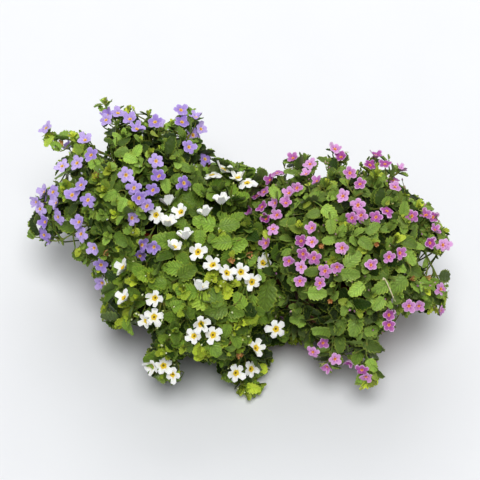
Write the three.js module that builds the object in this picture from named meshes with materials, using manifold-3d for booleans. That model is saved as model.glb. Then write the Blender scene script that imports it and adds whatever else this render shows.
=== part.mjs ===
// A window box of red-brown plastic, filled with soil and planted with three trailing bacopas:
// lavender-blue on the left, white in the middle, pink-purple on the right.
// Millimetres, +Z up. The origin is under the middle of the box, on its central foot bar.
// X runs along the box, -Y is the front.

import * as THREE from "three";
import { mergeVertices } from "three/addons/utils/BufferGeometryUtils.js";
import Module from "manifold-3d";

const wasm = await Module();
wasm.setup();
const { Manifold } = wasm;

// ---------------------------------------------------------------- driving dimensions

const BOX = {
  length: 320, // over the rim
  width: 115, // over the rim
  height: 140,
  cornerRadius: 22,
  wall: 2.4,
  taper: 8, // how far each wall leans in from rim to foot
  rimHeight: 13,
  rimOverhang: 3.5,
  floor: 4,
  footHeight: 4,
  footWidth: 26,
  footSpacing: 108,
  drainRadius: 4,
};

const SOIL = { top: 127, crown: 131, clearance: 0.4, holeRadius: 3.3, holeDepth: 40 };

// The view of the photograph, which places blooms and shoots by where they are seen in it.
const VIEW = {
  azimuth: 17.4,
  elevation: 55,
  distance: 2400,
  target: new THREE.Vector3(-18.6, -3.6, 100),
  mmPerPixel: 1.1,
  middlePixel: 240,
};

const STEM = {
  radius: 1.35,
  sides: 3,
  stepLength: 31,
  gap: 0.35, // to every other stem, the box and the soil
  floorClearance: 1.2,
  footSpacing: 8,
  tipDepth: 5, // of a shoot's tip inside the crown
  lowShoot: 40, // leaves below this height turn level, to lie along the surface below
};

const LEAF = {
  stalk: 5,
  halfStalk: 0.55,
  rootRise: 0.35,
  fold: 0.2,
  thickness: 1.1,
  ridge: 0.25,
  tipScale: 0.8,
};

// A bloom's shape in shares of its radius, its stalk in millimetres.
const BLOOM = {
  lobes: 5,
  notch: 0.42,
  lobeHalfWidth: 20, // degrees
  cup: 0.12,
  eyeDepth: 0.05,
  calyxDepth: 0.42,
  stalkRadius: 0.75,
  shortestReach: 7,
  longestReach: 55,
};

// How far a piece may run into its own stem's other pieces, in cubic millimetres, and how
// finely the joined body keeps its shape.
const JOIN = { sharedVolume: 0.45, tolerance: 0.06 };

// Each plant: its crown of foliage is an ellipsoid. Shoot tips and blooms that the photograph
// shows are given by the pixel at which they are seen. The ones on the hidden side are given by
// compass bearing (0 = +X, 90 = the back) and rise, in degrees, from the middle of the crown.
const PLANTS = [
  {
    name: "lavender",
    leafColor: 0x3d6a2c,
    root: [-104, 2],
    crown: { centre: [-150, 2, 122], radii: [92, 92, 86] },
    leaf: { length: 19, width: 16, spacing: 25, innerPair: 170, sideSteps: 5 },
    bloomRadius: 8.6,
    seed: 41,
    tipsSeen: [
      [48, 132], [104, 103], [148, 115], [190, 112], [87, 158], [138, 165], [180, 165],
      [43, 207], [92, 208], [136, 212], [62, 240], [102, 268], [146, 244],
    ],
    tipsHidden: [[95, 4], [165, -8]],
    bloomsSeen: [
      [46, 128], [85, 140], [91, 155], [62, 166], [77, 163], [118, 113], [107, 115], [130, 119],
      [137, 129], [155, 122], [126, 175], [156, 161], [159, 176], [153, 190], [139, 198],
      [147, 206], [132, 218], [88, 200], [72, 195], [56, 203], [81, 185], [44, 192], [40, 209],
      [45, 222], [58, 217], [79, 222], [44, 235], [81, 234], [182, 122], [196, 117], [181, 110],
      [193, 135], [189, 147], [205, 159], [184, 183], [94, 248], [142, 245], [154, 247],
      [101, 265], [102, 283],
    ],
    bloomsHidden: [[86, 14], [104, -2], [156, 6], [174, -12]],
  },
  {
    name: "white",
    leafColor: 0x5b8a2e,
    root: [0, -6],
    crown: { centre: [-48, -46, 66], radii: [98, 130, 124] },
    leaf: { length: 24, width: 21, spacing: 24, innerPair: 95, sideSteps: 6 },
    bloomRadius: 10,
    seed: 53,
    tipsSeen: [
      [122, 282], [126, 318], [162, 300], [165, 258], [205, 238], [216, 190], [178, 208],
      [250, 232], [205, 282], [246, 280], [284, 305], [205, 328], [250, 338], [162, 372],
      [246, 391],
    ],
    tipsHidden: [[80, 50]],
    bloomsSeen: [
      [212, 175], [238, 178], [247, 183], [221, 201], [205, 213], [181, 212], [168, 202],
      [156, 215], [168, 223], [185, 236], [174, 247], [198, 252], [213, 265], [227, 273],
      [241, 272], [252, 282], [263, 263], [123, 268], [124, 298], [155, 298], [154, 317],
      [200, 287], [201, 324], [194, 336], [213, 335], [276, 329], [256, 348], [236, 373],
      [251, 369], [151, 369], [163, 367], [172, 376],
    ],
    bloomsHidden: [[66, 52], [94, 46]],
  },
  {
    name: "pink",
    leafColor: 0x35602c,
    root: [104, 2],
    crown: { centre: [100, 4, 118], radii: [110, 100, 90] },
    leaf: { length: 20, width: 17, spacing: 25, innerPair: 150, sideSteps: 5 },
    bloomRadius: 7.4,
    seed: 67,
    tipsSeen: [
      [294, 158], [337, 151], [398, 172], [268, 190], [310, 200], [355, 196],
      [438, 230], [270, 240], [312, 248], [355, 250], [398, 254], [446, 296],
      [400, 308], [350, 302], [330, 366], [366, 382],
    ],
    tipsHidden: [[85, 2], [30, -6]],
    bloomsSeen: [
      [270, 180], [277, 173], [264, 192], [286, 203], [289, 193], [251, 212], [266, 219],
      [277, 215], [273, 229], [297, 188], [293, 158], [310, 164], [306, 174], [335, 149],
      [341, 157], [350, 173], [343, 195], [358, 205], [352, 218], [361, 215], [376, 217],
      [360, 184], [376, 155], [370, 165], [385, 164], [401, 169], [395, 187], [387, 211],
      [412, 216], [426, 215], [435, 230], [430, 243], [443, 245], [400, 253], [389, 257],
      [371, 265], [342, 248], [312, 228], [301, 241], [312, 242], [289, 261], [303, 254],
      [314, 258], [266, 243], [300, 281], [320, 283], [325, 271], [337, 267], [441, 289],
      [409, 306], [389, 315], [389, 325], [323, 345], [335, 359], [327, 367], [313, 352],
      [350, 361], [362, 370], [366, 377],
    ],
    bloomsHidden: [[76, 12], [94, -4], [22, 4], [38, -10]],
  },
];

// ---------------------------------------------------------------- small helpers

const UP = new THREE.Vector3(0, 0, 1);
const RAD = Math.PI / 180;

/** Draws between 0 and 1 from a seeded row of numbers. */
class Draw {
  constructor(seed) {
    this.state = seed;
  }

  next() {
    this.state = (this.state * 1664525 + 1013904223) % 4294967296;
    return this.state / 4294967296;
  }

  between(low, high) {
    return low + (high - low) * this.next();
  }
}

/** A closed geometry as a solid that can be joined and cut. */
function toSolid(geometry) {
  const bare = geometry.index ? geometry.toNonIndexed() : geometry.clone();
  bare.deleteAttribute("normal");
  bare.deleteAttribute("uv");
  const merged = mergeVertices(bare, 1e-4);
  const vertProperties = new Float32Array(merged.attributes.position.array);
  const triVerts = new Uint32Array(merged.index.array);
  return new Manifold(new wasm.Mesh({ numProp: 3, vertProperties, triVerts }));
}

/** A solid as a mesh of the scene. */
function toMesh(solid, name, material) {
  const { vertProperties, triVerts } = solid.getMesh();
  const geometry = new THREE.BufferGeometry();
  geometry.setAttribute("position", new THREE.BufferAttribute(vertProperties, 3));
  geometry.setIndex(new THREE.BufferAttribute(triVerts, 1));
  geometry.computeVertexNormals();
  const mesh = new THREE.Mesh(geometry, material);
  mesh.name = name;
  return mesh;
}

/** Joins solids into one body: hollows that joining seals are filled, loose scraps dropped. */
function fuse(solids) {
  const joined = Manifold.union(solids).asOriginal().simplify(JOIN.tolerance);
  const bodies = joined.decompose().sort((a, b) => b.volume() - a.volume());
  return bodies[0];
}

/** A geometry of points (Vector3) and faces (index triples). */
function geometryOf(points, faces) {
  const geometry = new THREE.BufferGeometry();
  geometry.setAttribute(
    "position",
    new THREE.Float32BufferAttribute(points.flatMap((p) => [p.x, p.y, p.z]), 3),
  );
  geometry.setIndex(faces.flat());
  return geometry;
}

// ---------------------------------------------------------------- window box and soil

/** Ring of a rounded rectangle at one height, anticlockwise from above. */
function roundedRing(halfLength, halfWidth, radius, z, cornerSteps = 3) {
  const ring = [];
  for (let corner = 0; corner < 4; corner++) {
    const signX = corner === 0 || corner === 3 ? 1 : -1;
    const signY = corner < 2 ? 1 : -1;
    for (let step = 0; step <= cornerSteps; step++) {
      const angle = (corner + step / cornerSteps) * 90 * RAD;
      ring.push(
        new THREE.Vector3(
          signX * (halfLength - radius) + radius * Math.cos(angle),
          signY * (halfWidth - radius) + radius * Math.sin(angle),
          z,
        ),
      );
    }
  }
  return ring;
}

/** Solid between rings of equal count, from the lowest to the highest, with flat ends. */
function loft(rings) {
  const count = rings[0].length;
  const faces = [];
  for (let level = 0; level + 1 < rings.length; level++) {
    for (let i = 0; i < count; i++) {
      const a = level * count + i;
      const b = level * count + ((i + 1) % count);
      faces.push([a, b, b + count], [a, b + count, a + count]);
    }
  }
  const last = (rings.length - 1) * count;
  for (let i = 1; i + 1 < count; i++) {
    faces.push([0, i + 1, i], [last, last + i, last + i + 1]);
  }
  return toSolid(geometryOf(rings.flat(), faces));
}

/** Ring of the box wall, drawn in from the rim's own outline by an inset. */
function boxRing(inset, z) {
  return roundedRing(
    BOX.length / 2 - inset,
    BOX.width / 2 - inset,
    Math.max(BOX.cornerRadius - inset, 4),
    z,
  );
}

/** Inset of the outer wall at a height, from the taper. */
function wallInset(z) {
  return BOX.rimOverhang + (BOX.taper * (BOX.height - z)) / BOX.height;
}

function makeWindowBox() {
  const rimFoot = BOX.height - BOX.rimHeight;
  const floorZ = BOX.footHeight;
  let solid = loft([
    boxRing(wallInset(floorZ) + 2, floorZ),
    boxRing(wallInset(floorZ + 3), floorZ + 3),
    boxRing(wallInset(rimFoot - 2), rimFoot - 2),
    boxRing(1, rimFoot),
    boxRing(0, rimFoot + 2),
    boxRing(0, BOX.height - 3),
    boxRing(2, BOX.height),
  ]);
  for (const side of [-1, 0, 1]) {
    const bar = new THREE.BoxGeometry(
      BOX.footWidth,
      BOX.width - 2 * wallInset(0) - 14,
      BOX.footHeight + 2,
    );
    bar.translate(side * BOX.footSpacing, 0, BOX.footHeight / 2 + 1);
    solid = solid.add(toSolid(bar));
  }
  const inside = loft([
    boxRing(wallInset(floorZ) + BOX.wall, floorZ + BOX.floor),
    boxRing(wallInset(rimFoot) + BOX.wall, rimFoot),
    boxRing(BOX.rimOverhang + BOX.wall, BOX.height + 1),
  ]);
  solid = solid.subtract(inside);
  for (const x of [-1.5, -0.5, 0.5, 1.5]) {
    for (const y of [-24, 24]) {
      const drain = new THREE.CylinderGeometry(BOX.drainRadius, BOX.drainRadius, 20, 5);
      drain.rotateX(90 * RAD);
      drain.translate((x * BOX.footSpacing) / 1.5 + (x > 0 ? -18 : 18), y, floorZ);
      solid = solid.subtract(toSolid(drain));
    }
  }
  return solid;
}

function makeSoil(holes) {
  const bottom = BOX.footHeight + BOX.floor + SOIL.clearance;
  const inset = (z) => wallInset(z) + BOX.wall + SOIL.clearance;
  let solid = loft([
    boxRing(inset(bottom) + 0.2, bottom),
    boxRing(inset(SOIL.top) + 0.2, SOIL.top),
    boxRing(inset(SOIL.top) + 14, SOIL.crown),
  ]);
  for (const [x, y] of holes) {
    const hole = new THREE.CylinderGeometry(SOIL.holeRadius, SOIL.holeRadius, SOIL.holeDepth + 2, 3);
    hole.rotateX(90 * RAD);
    hole.translate(x, y, SOIL.crown - SOIL.holeDepth / 2 + 1);
    solid = solid.subtract(toSolid(hole));
  }
  return solid;
}

// ---------------------------------------------------------------- places in the crown

const viewBack = new THREE.Vector3(
  Math.sin(VIEW.azimuth * RAD) * Math.cos(VIEW.elevation * RAD),
  -Math.cos(VIEW.azimuth * RAD) * Math.cos(VIEW.elevation * RAD),
  Math.sin(VIEW.elevation * RAD),
);
const viewRight = new THREE.Vector3(Math.cos(VIEW.azimuth * RAD), Math.sin(VIEW.azimuth * RAD), 0);
const viewUp = viewBack.clone().cross(viewRight);
const eye = VIEW.target.clone().addScaledVector(viewBack, VIEW.distance);

/** Direction from the eye through a pixel of the photograph. */
function sightLine([column, row]) {
  return viewBack
    .clone()
    .multiplyScalar(-VIEW.distance)
    .addScaledVector(viewRight, (column - VIEW.middlePixel) * VIEW.mmPerPixel)
    .addScaledVector(viewUp, (VIEW.middlePixel - row) * VIEW.mmPerPixel)
    .normalize();
}

/** Where a sight line first meets an ellipsoid, or comes nearest to it; depth moves it inwards. */
function seenOnCrown(crown, pixel, depth = 0) {
  const radii = new THREE.Vector3(...crown.radii);
  const centre = new THREE.Vector3(...crown.centre);
  const direction = sightLine(pixel);
  const from = eye.clone().sub(centre).divide(radii);
  const step = direction.clone().divide(radii);
  const a = step.dot(step);
  const b = from.dot(step);
  const inside = b * b - a * (from.dot(from) - 1);
  const distance = (-b - Math.sqrt(Math.max(inside, 0))) / a + depth;
  const point = eye.clone().addScaledVector(direction, distance);
  point.z = Math.max(point.z, STEM.floorClearance + 9);
  return point;
}

/** Place on an ellipsoid by compass bearing (0 = +X, 90 = back) and rise. */
function hiddenOnCrown(crown, [bearing, rise]) {
  return new THREE.Vector3(
    Math.cos(bearing * RAD) * Math.cos(rise * RAD),
    Math.sin(bearing * RAD) * Math.cos(rise * RAD),
    Math.sin(rise * RAD),
  )
    .multiply(new THREE.Vector3(...crown.radii))
    .add(new THREE.Vector3(...crown.centre));
}

/** Outward direction of the crown at a point. */
function outwardAt(crown, point) {
  const radii = new THREE.Vector3(...crown.radii);
  return point
    .clone()
    .sub(new THREE.Vector3(...crown.centre))
    .divide(radii)
    .divide(radii)
    .normalize();
}

// ---------------------------------------------------------------- stems

/** Where each stem of a plant leaves the soil: towards its tip, clear of the other stems. */
function stemFoot(plant, tip, taken) {
  const [rootX, rootY] = plant.root;
  const bearing = Math.atan2(tip.y - rootY, tip.x - rootX);
  for (let ring = 10; ring < 60; ring += 2) {
    for (const turn of [0, 0.35, -0.35, 0.7, -0.7, 1.05, -1.05]) {
      const x = rootX + 0.95 * ring * Math.cos(bearing + turn);
      const y = THREE.MathUtils.clamp(rootY + 0.8 * ring * Math.sin(bearing + turn), -38, 38);
      const clear = ([tx, ty]) => Math.hypot(x - tx, y - ty) > STEM.footSpacing;
      if (taken.every(clear)) return [x, y];
    }
  }
  throw new Error("no room for a stem");
}

/** A stem's curve: its first step stands straight in the soil, the rest follows the open curve. */
class StemCurve extends THREE.Curve {
  constructor(neck, open, steps) {
    super();
    this.arcLengthDivisions = 20 * steps;
    this.open = open;
    this.share = 1 / steps;
    this.neck = neck;
    this.start = neck.clone().setZ(neck.z - open.getLength() / (steps - 1));
  }

  getPoint(t, target = new THREE.Vector3()) {
    if (t < this.share) return target.lerpVectors(this.start, this.neck, t / this.share);
    return this.open.getPointAt((t - this.share) / (1 - this.share), target);
  }
}

/**
 * The line of a stem: up out of its hole, over the rim where it has to, and on to its tip.
 * Its shoulder sways aside where another stem is in the way.
 */
function stemLine(foot, tip, sway) {
  const [x, y] = foot;
  const neck = new THREE.Vector3(x, y, SOIL.crown + 4);
  const shoulder = neck.clone().lerp(tip, 0.5).add(sway);
  const rimTop = BOX.height + 14;
  const drop = Math.max(0, rimTop - tip.z);
  shoulder.z = Math.max(shoulder.z + 6, drop > 0 ? rimTop + 0.1 * drop : 0);
  const open = new THREE.CatmullRomCurve3([neck, shoulder, tip], false, "centripetal");
  const steps = 1 + Math.max(2, Math.round(open.getLength() / STEM.stepLength));
  const curve = new StemCurve(neck, open, steps);
  return { curve, steps, points: curve.getSpacedPoints(steps) };
}

function stemSolid(line) {
  const section = new THREE.Shape();
  for (let i = 0; i < STEM.sides; i++) {
    const angle = (i / STEM.sides) * 2 * Math.PI;
    const corner = [STEM.radius * Math.cos(angle), STEM.radius * Math.sin(angle)];
    if (i === 0) section.moveTo(...corner);
    else section.lineTo(...corner);
  }
  const options = { steps: line.steps, extrudePath: line.curve, bevelEnabled: false };
  return toSolid(new THREE.ExtrudeGeometry(section, options));
}

/** Point and direction on the stem's own straight stretches, t from 0 (foot) to 1 (tip). */
function onStem(line, t) {
  const place = Math.min(t, 0.9999) * line.steps;
  const index = Math.floor(place);
  const a = line.points[index];
  const b = line.points[index + 1];
  return { point: a.clone().lerp(b, place - index), along: b.clone().sub(a).normalize() };
}

// ---------------------------------------------------------------- leaves and blooms

/** Axes for a piece that points along one direction and faces another as nearly as it can. */
function frameOf(along, facing) {
  const y = along.clone().normalize();
  const x = y.clone().cross(facing).normalize();
  return new THREE.Matrix4().makeBasis(x, y, x.clone().cross(y));
}

/** A scalloped leaf on its stalk, folded along its midrib and drooping to its tip. */
function leafSolid(place, along, facing, { length, width, droop, sideSteps }) {
  const { stalk, halfStalk, rootRise, fold, thickness, ridge } = LEAF;
  const bend = (x, y) => fold * Math.abs(x) - (droop * y * y) / (length + stalk);
  const outline = [new THREE.Vector3(-halfStalk, 0, rootRise)];
  const add = (side, step) => {
    const turn = (step / sideSteps) * Math.PI;
    const tooth = step % 2 === 1 ? 1.05 : 0.86;
    const y = stalk + (length / 2) * (1 - Math.cos(turn));
    const x = side * (width / 2) * Math.sin(turn) * tooth * (1 + 0.18 * Math.cos(turn));
    outline.push(new THREE.Vector3(x, y, bend(x, y)));
  };
  for (let step = 1; step <= sideSteps; step++) add(-1, step);
  for (let step = sideSteps - 1; step >= 1; step--) add(1, step);
  outline.push(new THREE.Vector3(halfStalk, 0, rootRise));
  const middle = stalk + 0.45 * length;
  const top = outline.length;
  const under = top + 1;
  const rootUnder = top + 2;
  const points = [
    ...outline,
    new THREE.Vector3(0, middle, bend(0, middle) + ridge),
    new THREE.Vector3(0, middle, bend(0, middle) + ridge - thickness),
    new THREE.Vector3(0, 0, -halfStalk),
  ];
  const faces = [];
  for (let i = 0; i < outline.length; i++) {
    const next = (i + 1) % outline.length;
    faces.push([top, next, i]);
    if (next !== 0) faces.push([under, i, next]);
  }
  const left = 0;
  const right = outline.length - 1;
  faces.push([under, right, rootUnder], [under, rootUnder, left], [left, rootUnder, right]);
  const geometry = geometryOf(points, faces);
  geometry.applyMatrix4(frameOf(along, facing).setPosition(place));
  return toSolid(geometry);
}

/** A five-lobed bloom, with its stalk down to a point on the stem. */
function bloomSolid(centre, facing, root, radius) {
  const frame = frameOf(facing, UP.clone().addScaledVector(viewBack, 0.1));
  const across = new THREE.Vector3().setFromMatrixColumn(frame, 0).negate();
  const upright = new THREE.Vector3().setFromMatrixColumn(frame, 2);
  const at = (angle, distance, rise) =>
    centre
      .clone()
      .addScaledVector(across, distance * Math.cos(angle))
      .addScaledVector(upright, distance * Math.sin(angle))
      .addScaledVector(facing, rise);
  const points = [];
  const lobeTurn = 360 / BLOOM.lobes;
  for (let lobe = 0; lobe < BLOOM.lobes; lobe++) {
    const middle = (90 + lobeTurn * lobe) * RAD;
    const shoulder = BLOOM.lobeHalfWidth * RAD;
    const reach = radius * (1 - 0.06 * Math.sin(middle));
    points.push(at(middle - (lobeTurn / 2) * RAD, BLOOM.notch * radius, 0.02 * radius));
    points.push(at(middle - shoulder, reach, BLOOM.cup * radius));
    points.push(at(middle + shoulder, reach, BLOOM.cup * radius));
  }
  const rim = points.length;
  const calyx = centre.clone().addScaledVector(facing, -BLOOM.calyxDepth * radius);
  const stalk = root.clone().sub(calyx).normalize();
  const side = across.clone().addScaledVector(stalk, -across.dot(stalk)).normalize();
  const other = side.clone().cross(stalk).normalize();
  points.push(centre.clone().addScaledVector(facing, -BLOOM.eyeDepth * radius));
  for (const end of [calyx, root]) {
    for (let corner = 0; corner < 3; corner++) {
      const angle = (90 + 120 * corner) * RAD;
      points.push(
        end
          .clone()
          .addScaledVector(side, BLOOM.stalkRadius * Math.cos(angle))
          .addScaledVector(other, BLOOM.stalkRadius * Math.sin(angle)),
      );
    }
  }
  const faces = [];
  for (let i = 0; i < rim; i++) faces.push([rim, i, (i + 1) % rim]);
  const neck = rim + 1;
  const foot = rim + 4;
  for (let corner = 0; corner < 3; corner++) {
    const here = neck + corner;
    const nextCorner = neck + ((corner + 1) % 3);
    for (let i = 0; i < 5; i++) {
      const a = (corner * 5 + i) % rim;
      faces.push([here, (a + 1) % rim, a]);
    }
    faces.push([here, nextCorner, (corner * 5 + 5) % rim]);
    const footHere = foot + corner;
    const footNext = foot + ((corner + 1) % 3);
    faces.push([here, footHere, footNext], [here, footNext, nextCorner]);
  }
  faces.push([foot, foot + 2, foot + 1]);
  return toSolid(geometryOf(points, faces));
}

// ---------------------------------------------------------------- planting

/** Pieces already in place, each with the node that it belongs to. */
const placed = [];

function boxesMeet(a, b, margin) {
  return [0, 1, 2].every((i) => a.min[i] - margin < b.max[i] && b.min[i] - margin < a.max[i]);
}

/** Whether a piece would touch another node, or cross its own node by more than its root. */
function clashes(solid, owner) {
  const box = solid.boundingBox();
  if (box.min[2] < STEM.floorClearance) return true;
  for (const other of placed) {
    if (!boxesMeet(box, other.box, STEM.gap)) continue;
    if (other.owner === owner) {
      if (!other.isStem && solid.intersect(other.solid).volume() > JOIN.sharedVolume) return true;
    } else if (solid.minGap(other.solid, 1) < STEM.gap) {
      return true;
    }
  }
  return false;
}

function keep(solid, owner, isStem = false) {
  placed.push({ solid, owner, isStem, box: solid.boundingBox() });
}

/** Foot and tip of each stem of a plant, the upright ones in the middle first. */
function placeStems(plant, feet) {
  const crown = plant.crown;
  const tips = [
    ...plant.tipsSeen.map((pixel) => seenOnCrown(crown, pixel, STEM.tipDepth)),
    ...plant.tipsHidden.map((bearing) => hiddenOnCrown(crown, bearing)),
  ];
  const [rootX, rootY] = plant.root;
  const spread = (tip) => Math.hypot(tip.x - rootX, tip.y - rootY);
  tips.sort((a, b) => spread(a) - spread(b));
  return tips.map((tip, index) => {
    const foot = stemFoot(plant, tip, feet);
    feet.push(foot);
    return { name: `${plant.name}_stem_${String(index + 1).padStart(2, "0")}`, foot, tip };
  });
}

/** Grows a stem to its tip past the ones already in place. */
function growStem(stem) {
  for (const reach of [0, 6, 12, 18, 25]) {
    for (let turn = 0; turn < 8; turn++) {
      const angle = turn * 45 * RAD;
      const sway = new THREE.Vector3(Math.cos(angle), Math.sin(angle), turn % 2 ? 0.8 : 0.2);
      const line = stemLine(stem.foot, stem.tip, sway.multiplyScalar(reach));
      const solid = stemSolid(line);
      if (!clashes(solid, stem.name)) {
        stem.line = line;
        keep(solid, stem.name, true);
        return;
      }
    }
  }
  throw new Error(`${stem.name} finds no way to its tip`);
}

/** Grows one bloom from the nearest stem that it can reach without touching another. */
function growBloom(plant, stems, centre, draw) {
  const facing = outwardAt(plant.crown, centre)
    .multiplyScalar(0.55)
    .add(new THREE.Vector3(draw.between(-0.2, 0.2), -0.25 + draw.between(-0.2, 0.2), 0.55))
    .normalize();
  const calyx = centre.clone().addScaledVector(facing, -BLOOM.calyxDepth * plant.bloomRadius);
  const roots = [];
  for (const stem of stems) {
    let best = null;
    for (let t = 0.35; t < 0.99; t += 0.02) {
      const { point } = onStem(stem.line, t);
      const reach = point.distanceTo(calyx);
      const lean = calyx.clone().sub(point).dot(facing) / reach;
      const cost = reach * (1.5 - lean);
      if (reach < BLOOM.shortestReach || reach > BLOOM.longestReach || lean < -0.1) continue;
      if (!best || cost < best.cost) best = { stem, point, cost };
    }
    if (best) roots.push(best);
  }
  roots.sort((a, b) => a.cost - b.cost);
  for (const { stem, point } of roots.slice(0, 4)) {
    const solid = bloomSolid(centre, facing, point, plant.bloomRadius);
    if (!clashes(solid, stem.name)) {
      keep(solid, stem.name);
      return true;
    }
  }
  return false;
}

/** Grows every bloom of a plant, each at the first depth in the crown where there is room. */
function growBlooms(plant, stems, draw) {
  const crown = plant.crown;
  for (const pixel of plant.bloomsSeen) {
    [-4, 2, 8, 14, -10, 20, 27].some((depth) =>
      growBloom(plant, stems, seenOnCrown(crown, pixel, depth), draw),
    );
  }
  for (const bearing of plant.bloomsHidden) {
    growBloom(plant, stems, hiddenOnCrown(crown, bearing), draw);
  }
}

/** Opposite pairs of leaves, from the tip of a stem down, turned until they touch nothing. */
function growLeaves(plant, stem, draw, firstPair, lastPair) {
  const crown = plant.crown;
  const length = stem.line.curve.getLength();
  for (let pair = firstPair; pair <= lastPair; pair++) {
    const t = 1 - (1.5 + pair * plant.leaf.spacing) / length;
    const { point, along } = onStem(stem.line, t);
    const outward = outwardAt(crown, point);
    const sideways = along.clone().cross(outward).normalize();
    const nearFloor = THREE.MathUtils.clamp(1 - point.z / STEM.lowShoot, 0, 1);
    const facing = outward.clone().addScaledVector(UP, 0.35 + 2 * nearFloor);
    const size = pair === 0 ? LEAF.tipScale : draw.between(0.9, 1.1);
    for (const side of [-1, 1]) {
      for (let attempt = 0; attempt < 7; attempt++) {
        const roll = (pair % 2 ? 24 : -24) + draw.between(-12, 12) + attempt * 13;
        const direction = sideways
          .clone()
          .multiplyScalar(side * Math.cos(roll * RAD))
          .addScaledVector(outward, Math.sin(roll * RAD) * 0.8 + 0.12)
          .addScaledVector(along, 0.5)
          .normalize();
        direction.z = THREE.MathUtils.lerp(direction.z, 0.15, nearFloor);
        const shape = {
          length: plant.leaf.length * size,
          width: plant.leaf.width * size,
          droop: draw.between(0, 0.22),
          sideSteps: plant.leaf.sideSteps,
        };
        const solid = leafSolid(point, direction, facing, shape);
        if (!clashes(solid, stem.name)) {
          keep(solid, stem.name);
          break;
        }
      }
    }
  }
}

// ---------------------------------------------------------------- assembly

const plastic = new THREE.MeshStandardMaterial({ color: 0x55240f, roughness: 0.5, metalness: 0 });
const earth = new THREE.MeshStandardMaterial({ color: 0x2b1d14, roughness: 1, metalness: 0 });

const feet = [];
const grownPlants = PLANTS.map((plant) => ({ plant, stems: placeStems(plant, feet) }));

const windowBox = makeWindowBox();
const soil = makeSoil(feet);
keep(windowBox, "window_box");
keep(soil, "potting_soil");

for (const { stems } of grownPlants) stems.forEach(growStem);
for (const { plant, stems } of grownPlants) {
  const draw = new Draw(plant.seed);
  for (const stem of stems) growLeaves(plant, stem, draw, 0, 0);
  growBlooms(plant, stems, draw);
  for (const stem of stems) {
    const pairs = stem.line.curve.getLength() > plant.leaf.innerPair ? 2 : 1;
    growLeaves(plant, stem, draw, 1, pairs);
  }
}

const group = new THREE.Group();
group.add(toMesh(windowBox, "window_box", plastic));
group.add(toMesh(soil, "potting_soil", earth));
for (const { plant, stems } of grownPlants) {
  const foliage = new THREE.MeshStandardMaterial({ color: plant.leafColor, roughness: 0.6 });
  for (const stem of stems) {
    const pieces = placed.filter((piece) => piece.owner === stem.name);
    group.add(toMesh(fuse(pieces.map((piece) => piece.solid)), stem.name, foliage));
  }
}

export default group;
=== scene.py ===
"""Looks of a window box planted with three trailing bacopas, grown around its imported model.

Places and sizes are in millimetres until they become a mesh, and pixels are columns and rows of the
photograph, which is 480 pixels wide and high.
"""

import logging
import math
import random
from contextlib import contextmanager
from dataclasses import dataclass, field
from enum import Enum
from typing import Callable, ClassVar, Iterator, Sequence

import bpy
import numpy as np
from bpy.types import ID, Material, Mesh, Node, NodeTree, Object
from bpy.types import NodeSocket as Socket
from mathutils import Euler, Matrix, Vector


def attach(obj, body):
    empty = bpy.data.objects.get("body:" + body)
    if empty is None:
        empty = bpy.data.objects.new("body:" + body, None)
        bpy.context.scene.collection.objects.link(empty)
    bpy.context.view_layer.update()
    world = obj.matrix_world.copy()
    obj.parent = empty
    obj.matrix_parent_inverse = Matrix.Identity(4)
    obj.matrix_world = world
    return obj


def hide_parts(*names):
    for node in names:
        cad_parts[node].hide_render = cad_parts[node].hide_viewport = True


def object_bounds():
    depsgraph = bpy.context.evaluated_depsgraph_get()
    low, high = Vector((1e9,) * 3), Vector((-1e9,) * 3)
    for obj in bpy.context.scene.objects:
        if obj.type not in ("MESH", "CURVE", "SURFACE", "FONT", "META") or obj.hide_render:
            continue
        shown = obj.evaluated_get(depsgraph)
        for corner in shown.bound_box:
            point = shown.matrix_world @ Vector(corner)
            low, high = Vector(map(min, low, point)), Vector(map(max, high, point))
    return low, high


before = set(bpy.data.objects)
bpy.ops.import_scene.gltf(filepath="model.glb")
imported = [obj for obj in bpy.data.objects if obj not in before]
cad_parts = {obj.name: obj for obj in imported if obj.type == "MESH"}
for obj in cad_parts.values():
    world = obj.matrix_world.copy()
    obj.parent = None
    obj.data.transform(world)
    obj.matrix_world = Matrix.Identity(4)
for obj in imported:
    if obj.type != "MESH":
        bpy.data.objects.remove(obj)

logging.basicConfig(level=logging.INFO, format="%(message)s")
log = logging.getLogger("window_box")

CAD_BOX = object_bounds()
MM = 0.001
UP = Vector((0.0, 0.0, 1.0))
BODY = "root"

Pixel = tuple[float, float]
Disc = tuple[float, float, float, float]  # column, row, distance from the eye and radius
Run = tuple[list[Vector], list[float]]  # points along a stalk and its radius at each
Colour = tuple[int, int, int]  # red, green and blue as on a screen, 0 to 255


# ---------------------------------------------------------------- the photograph's view


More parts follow.
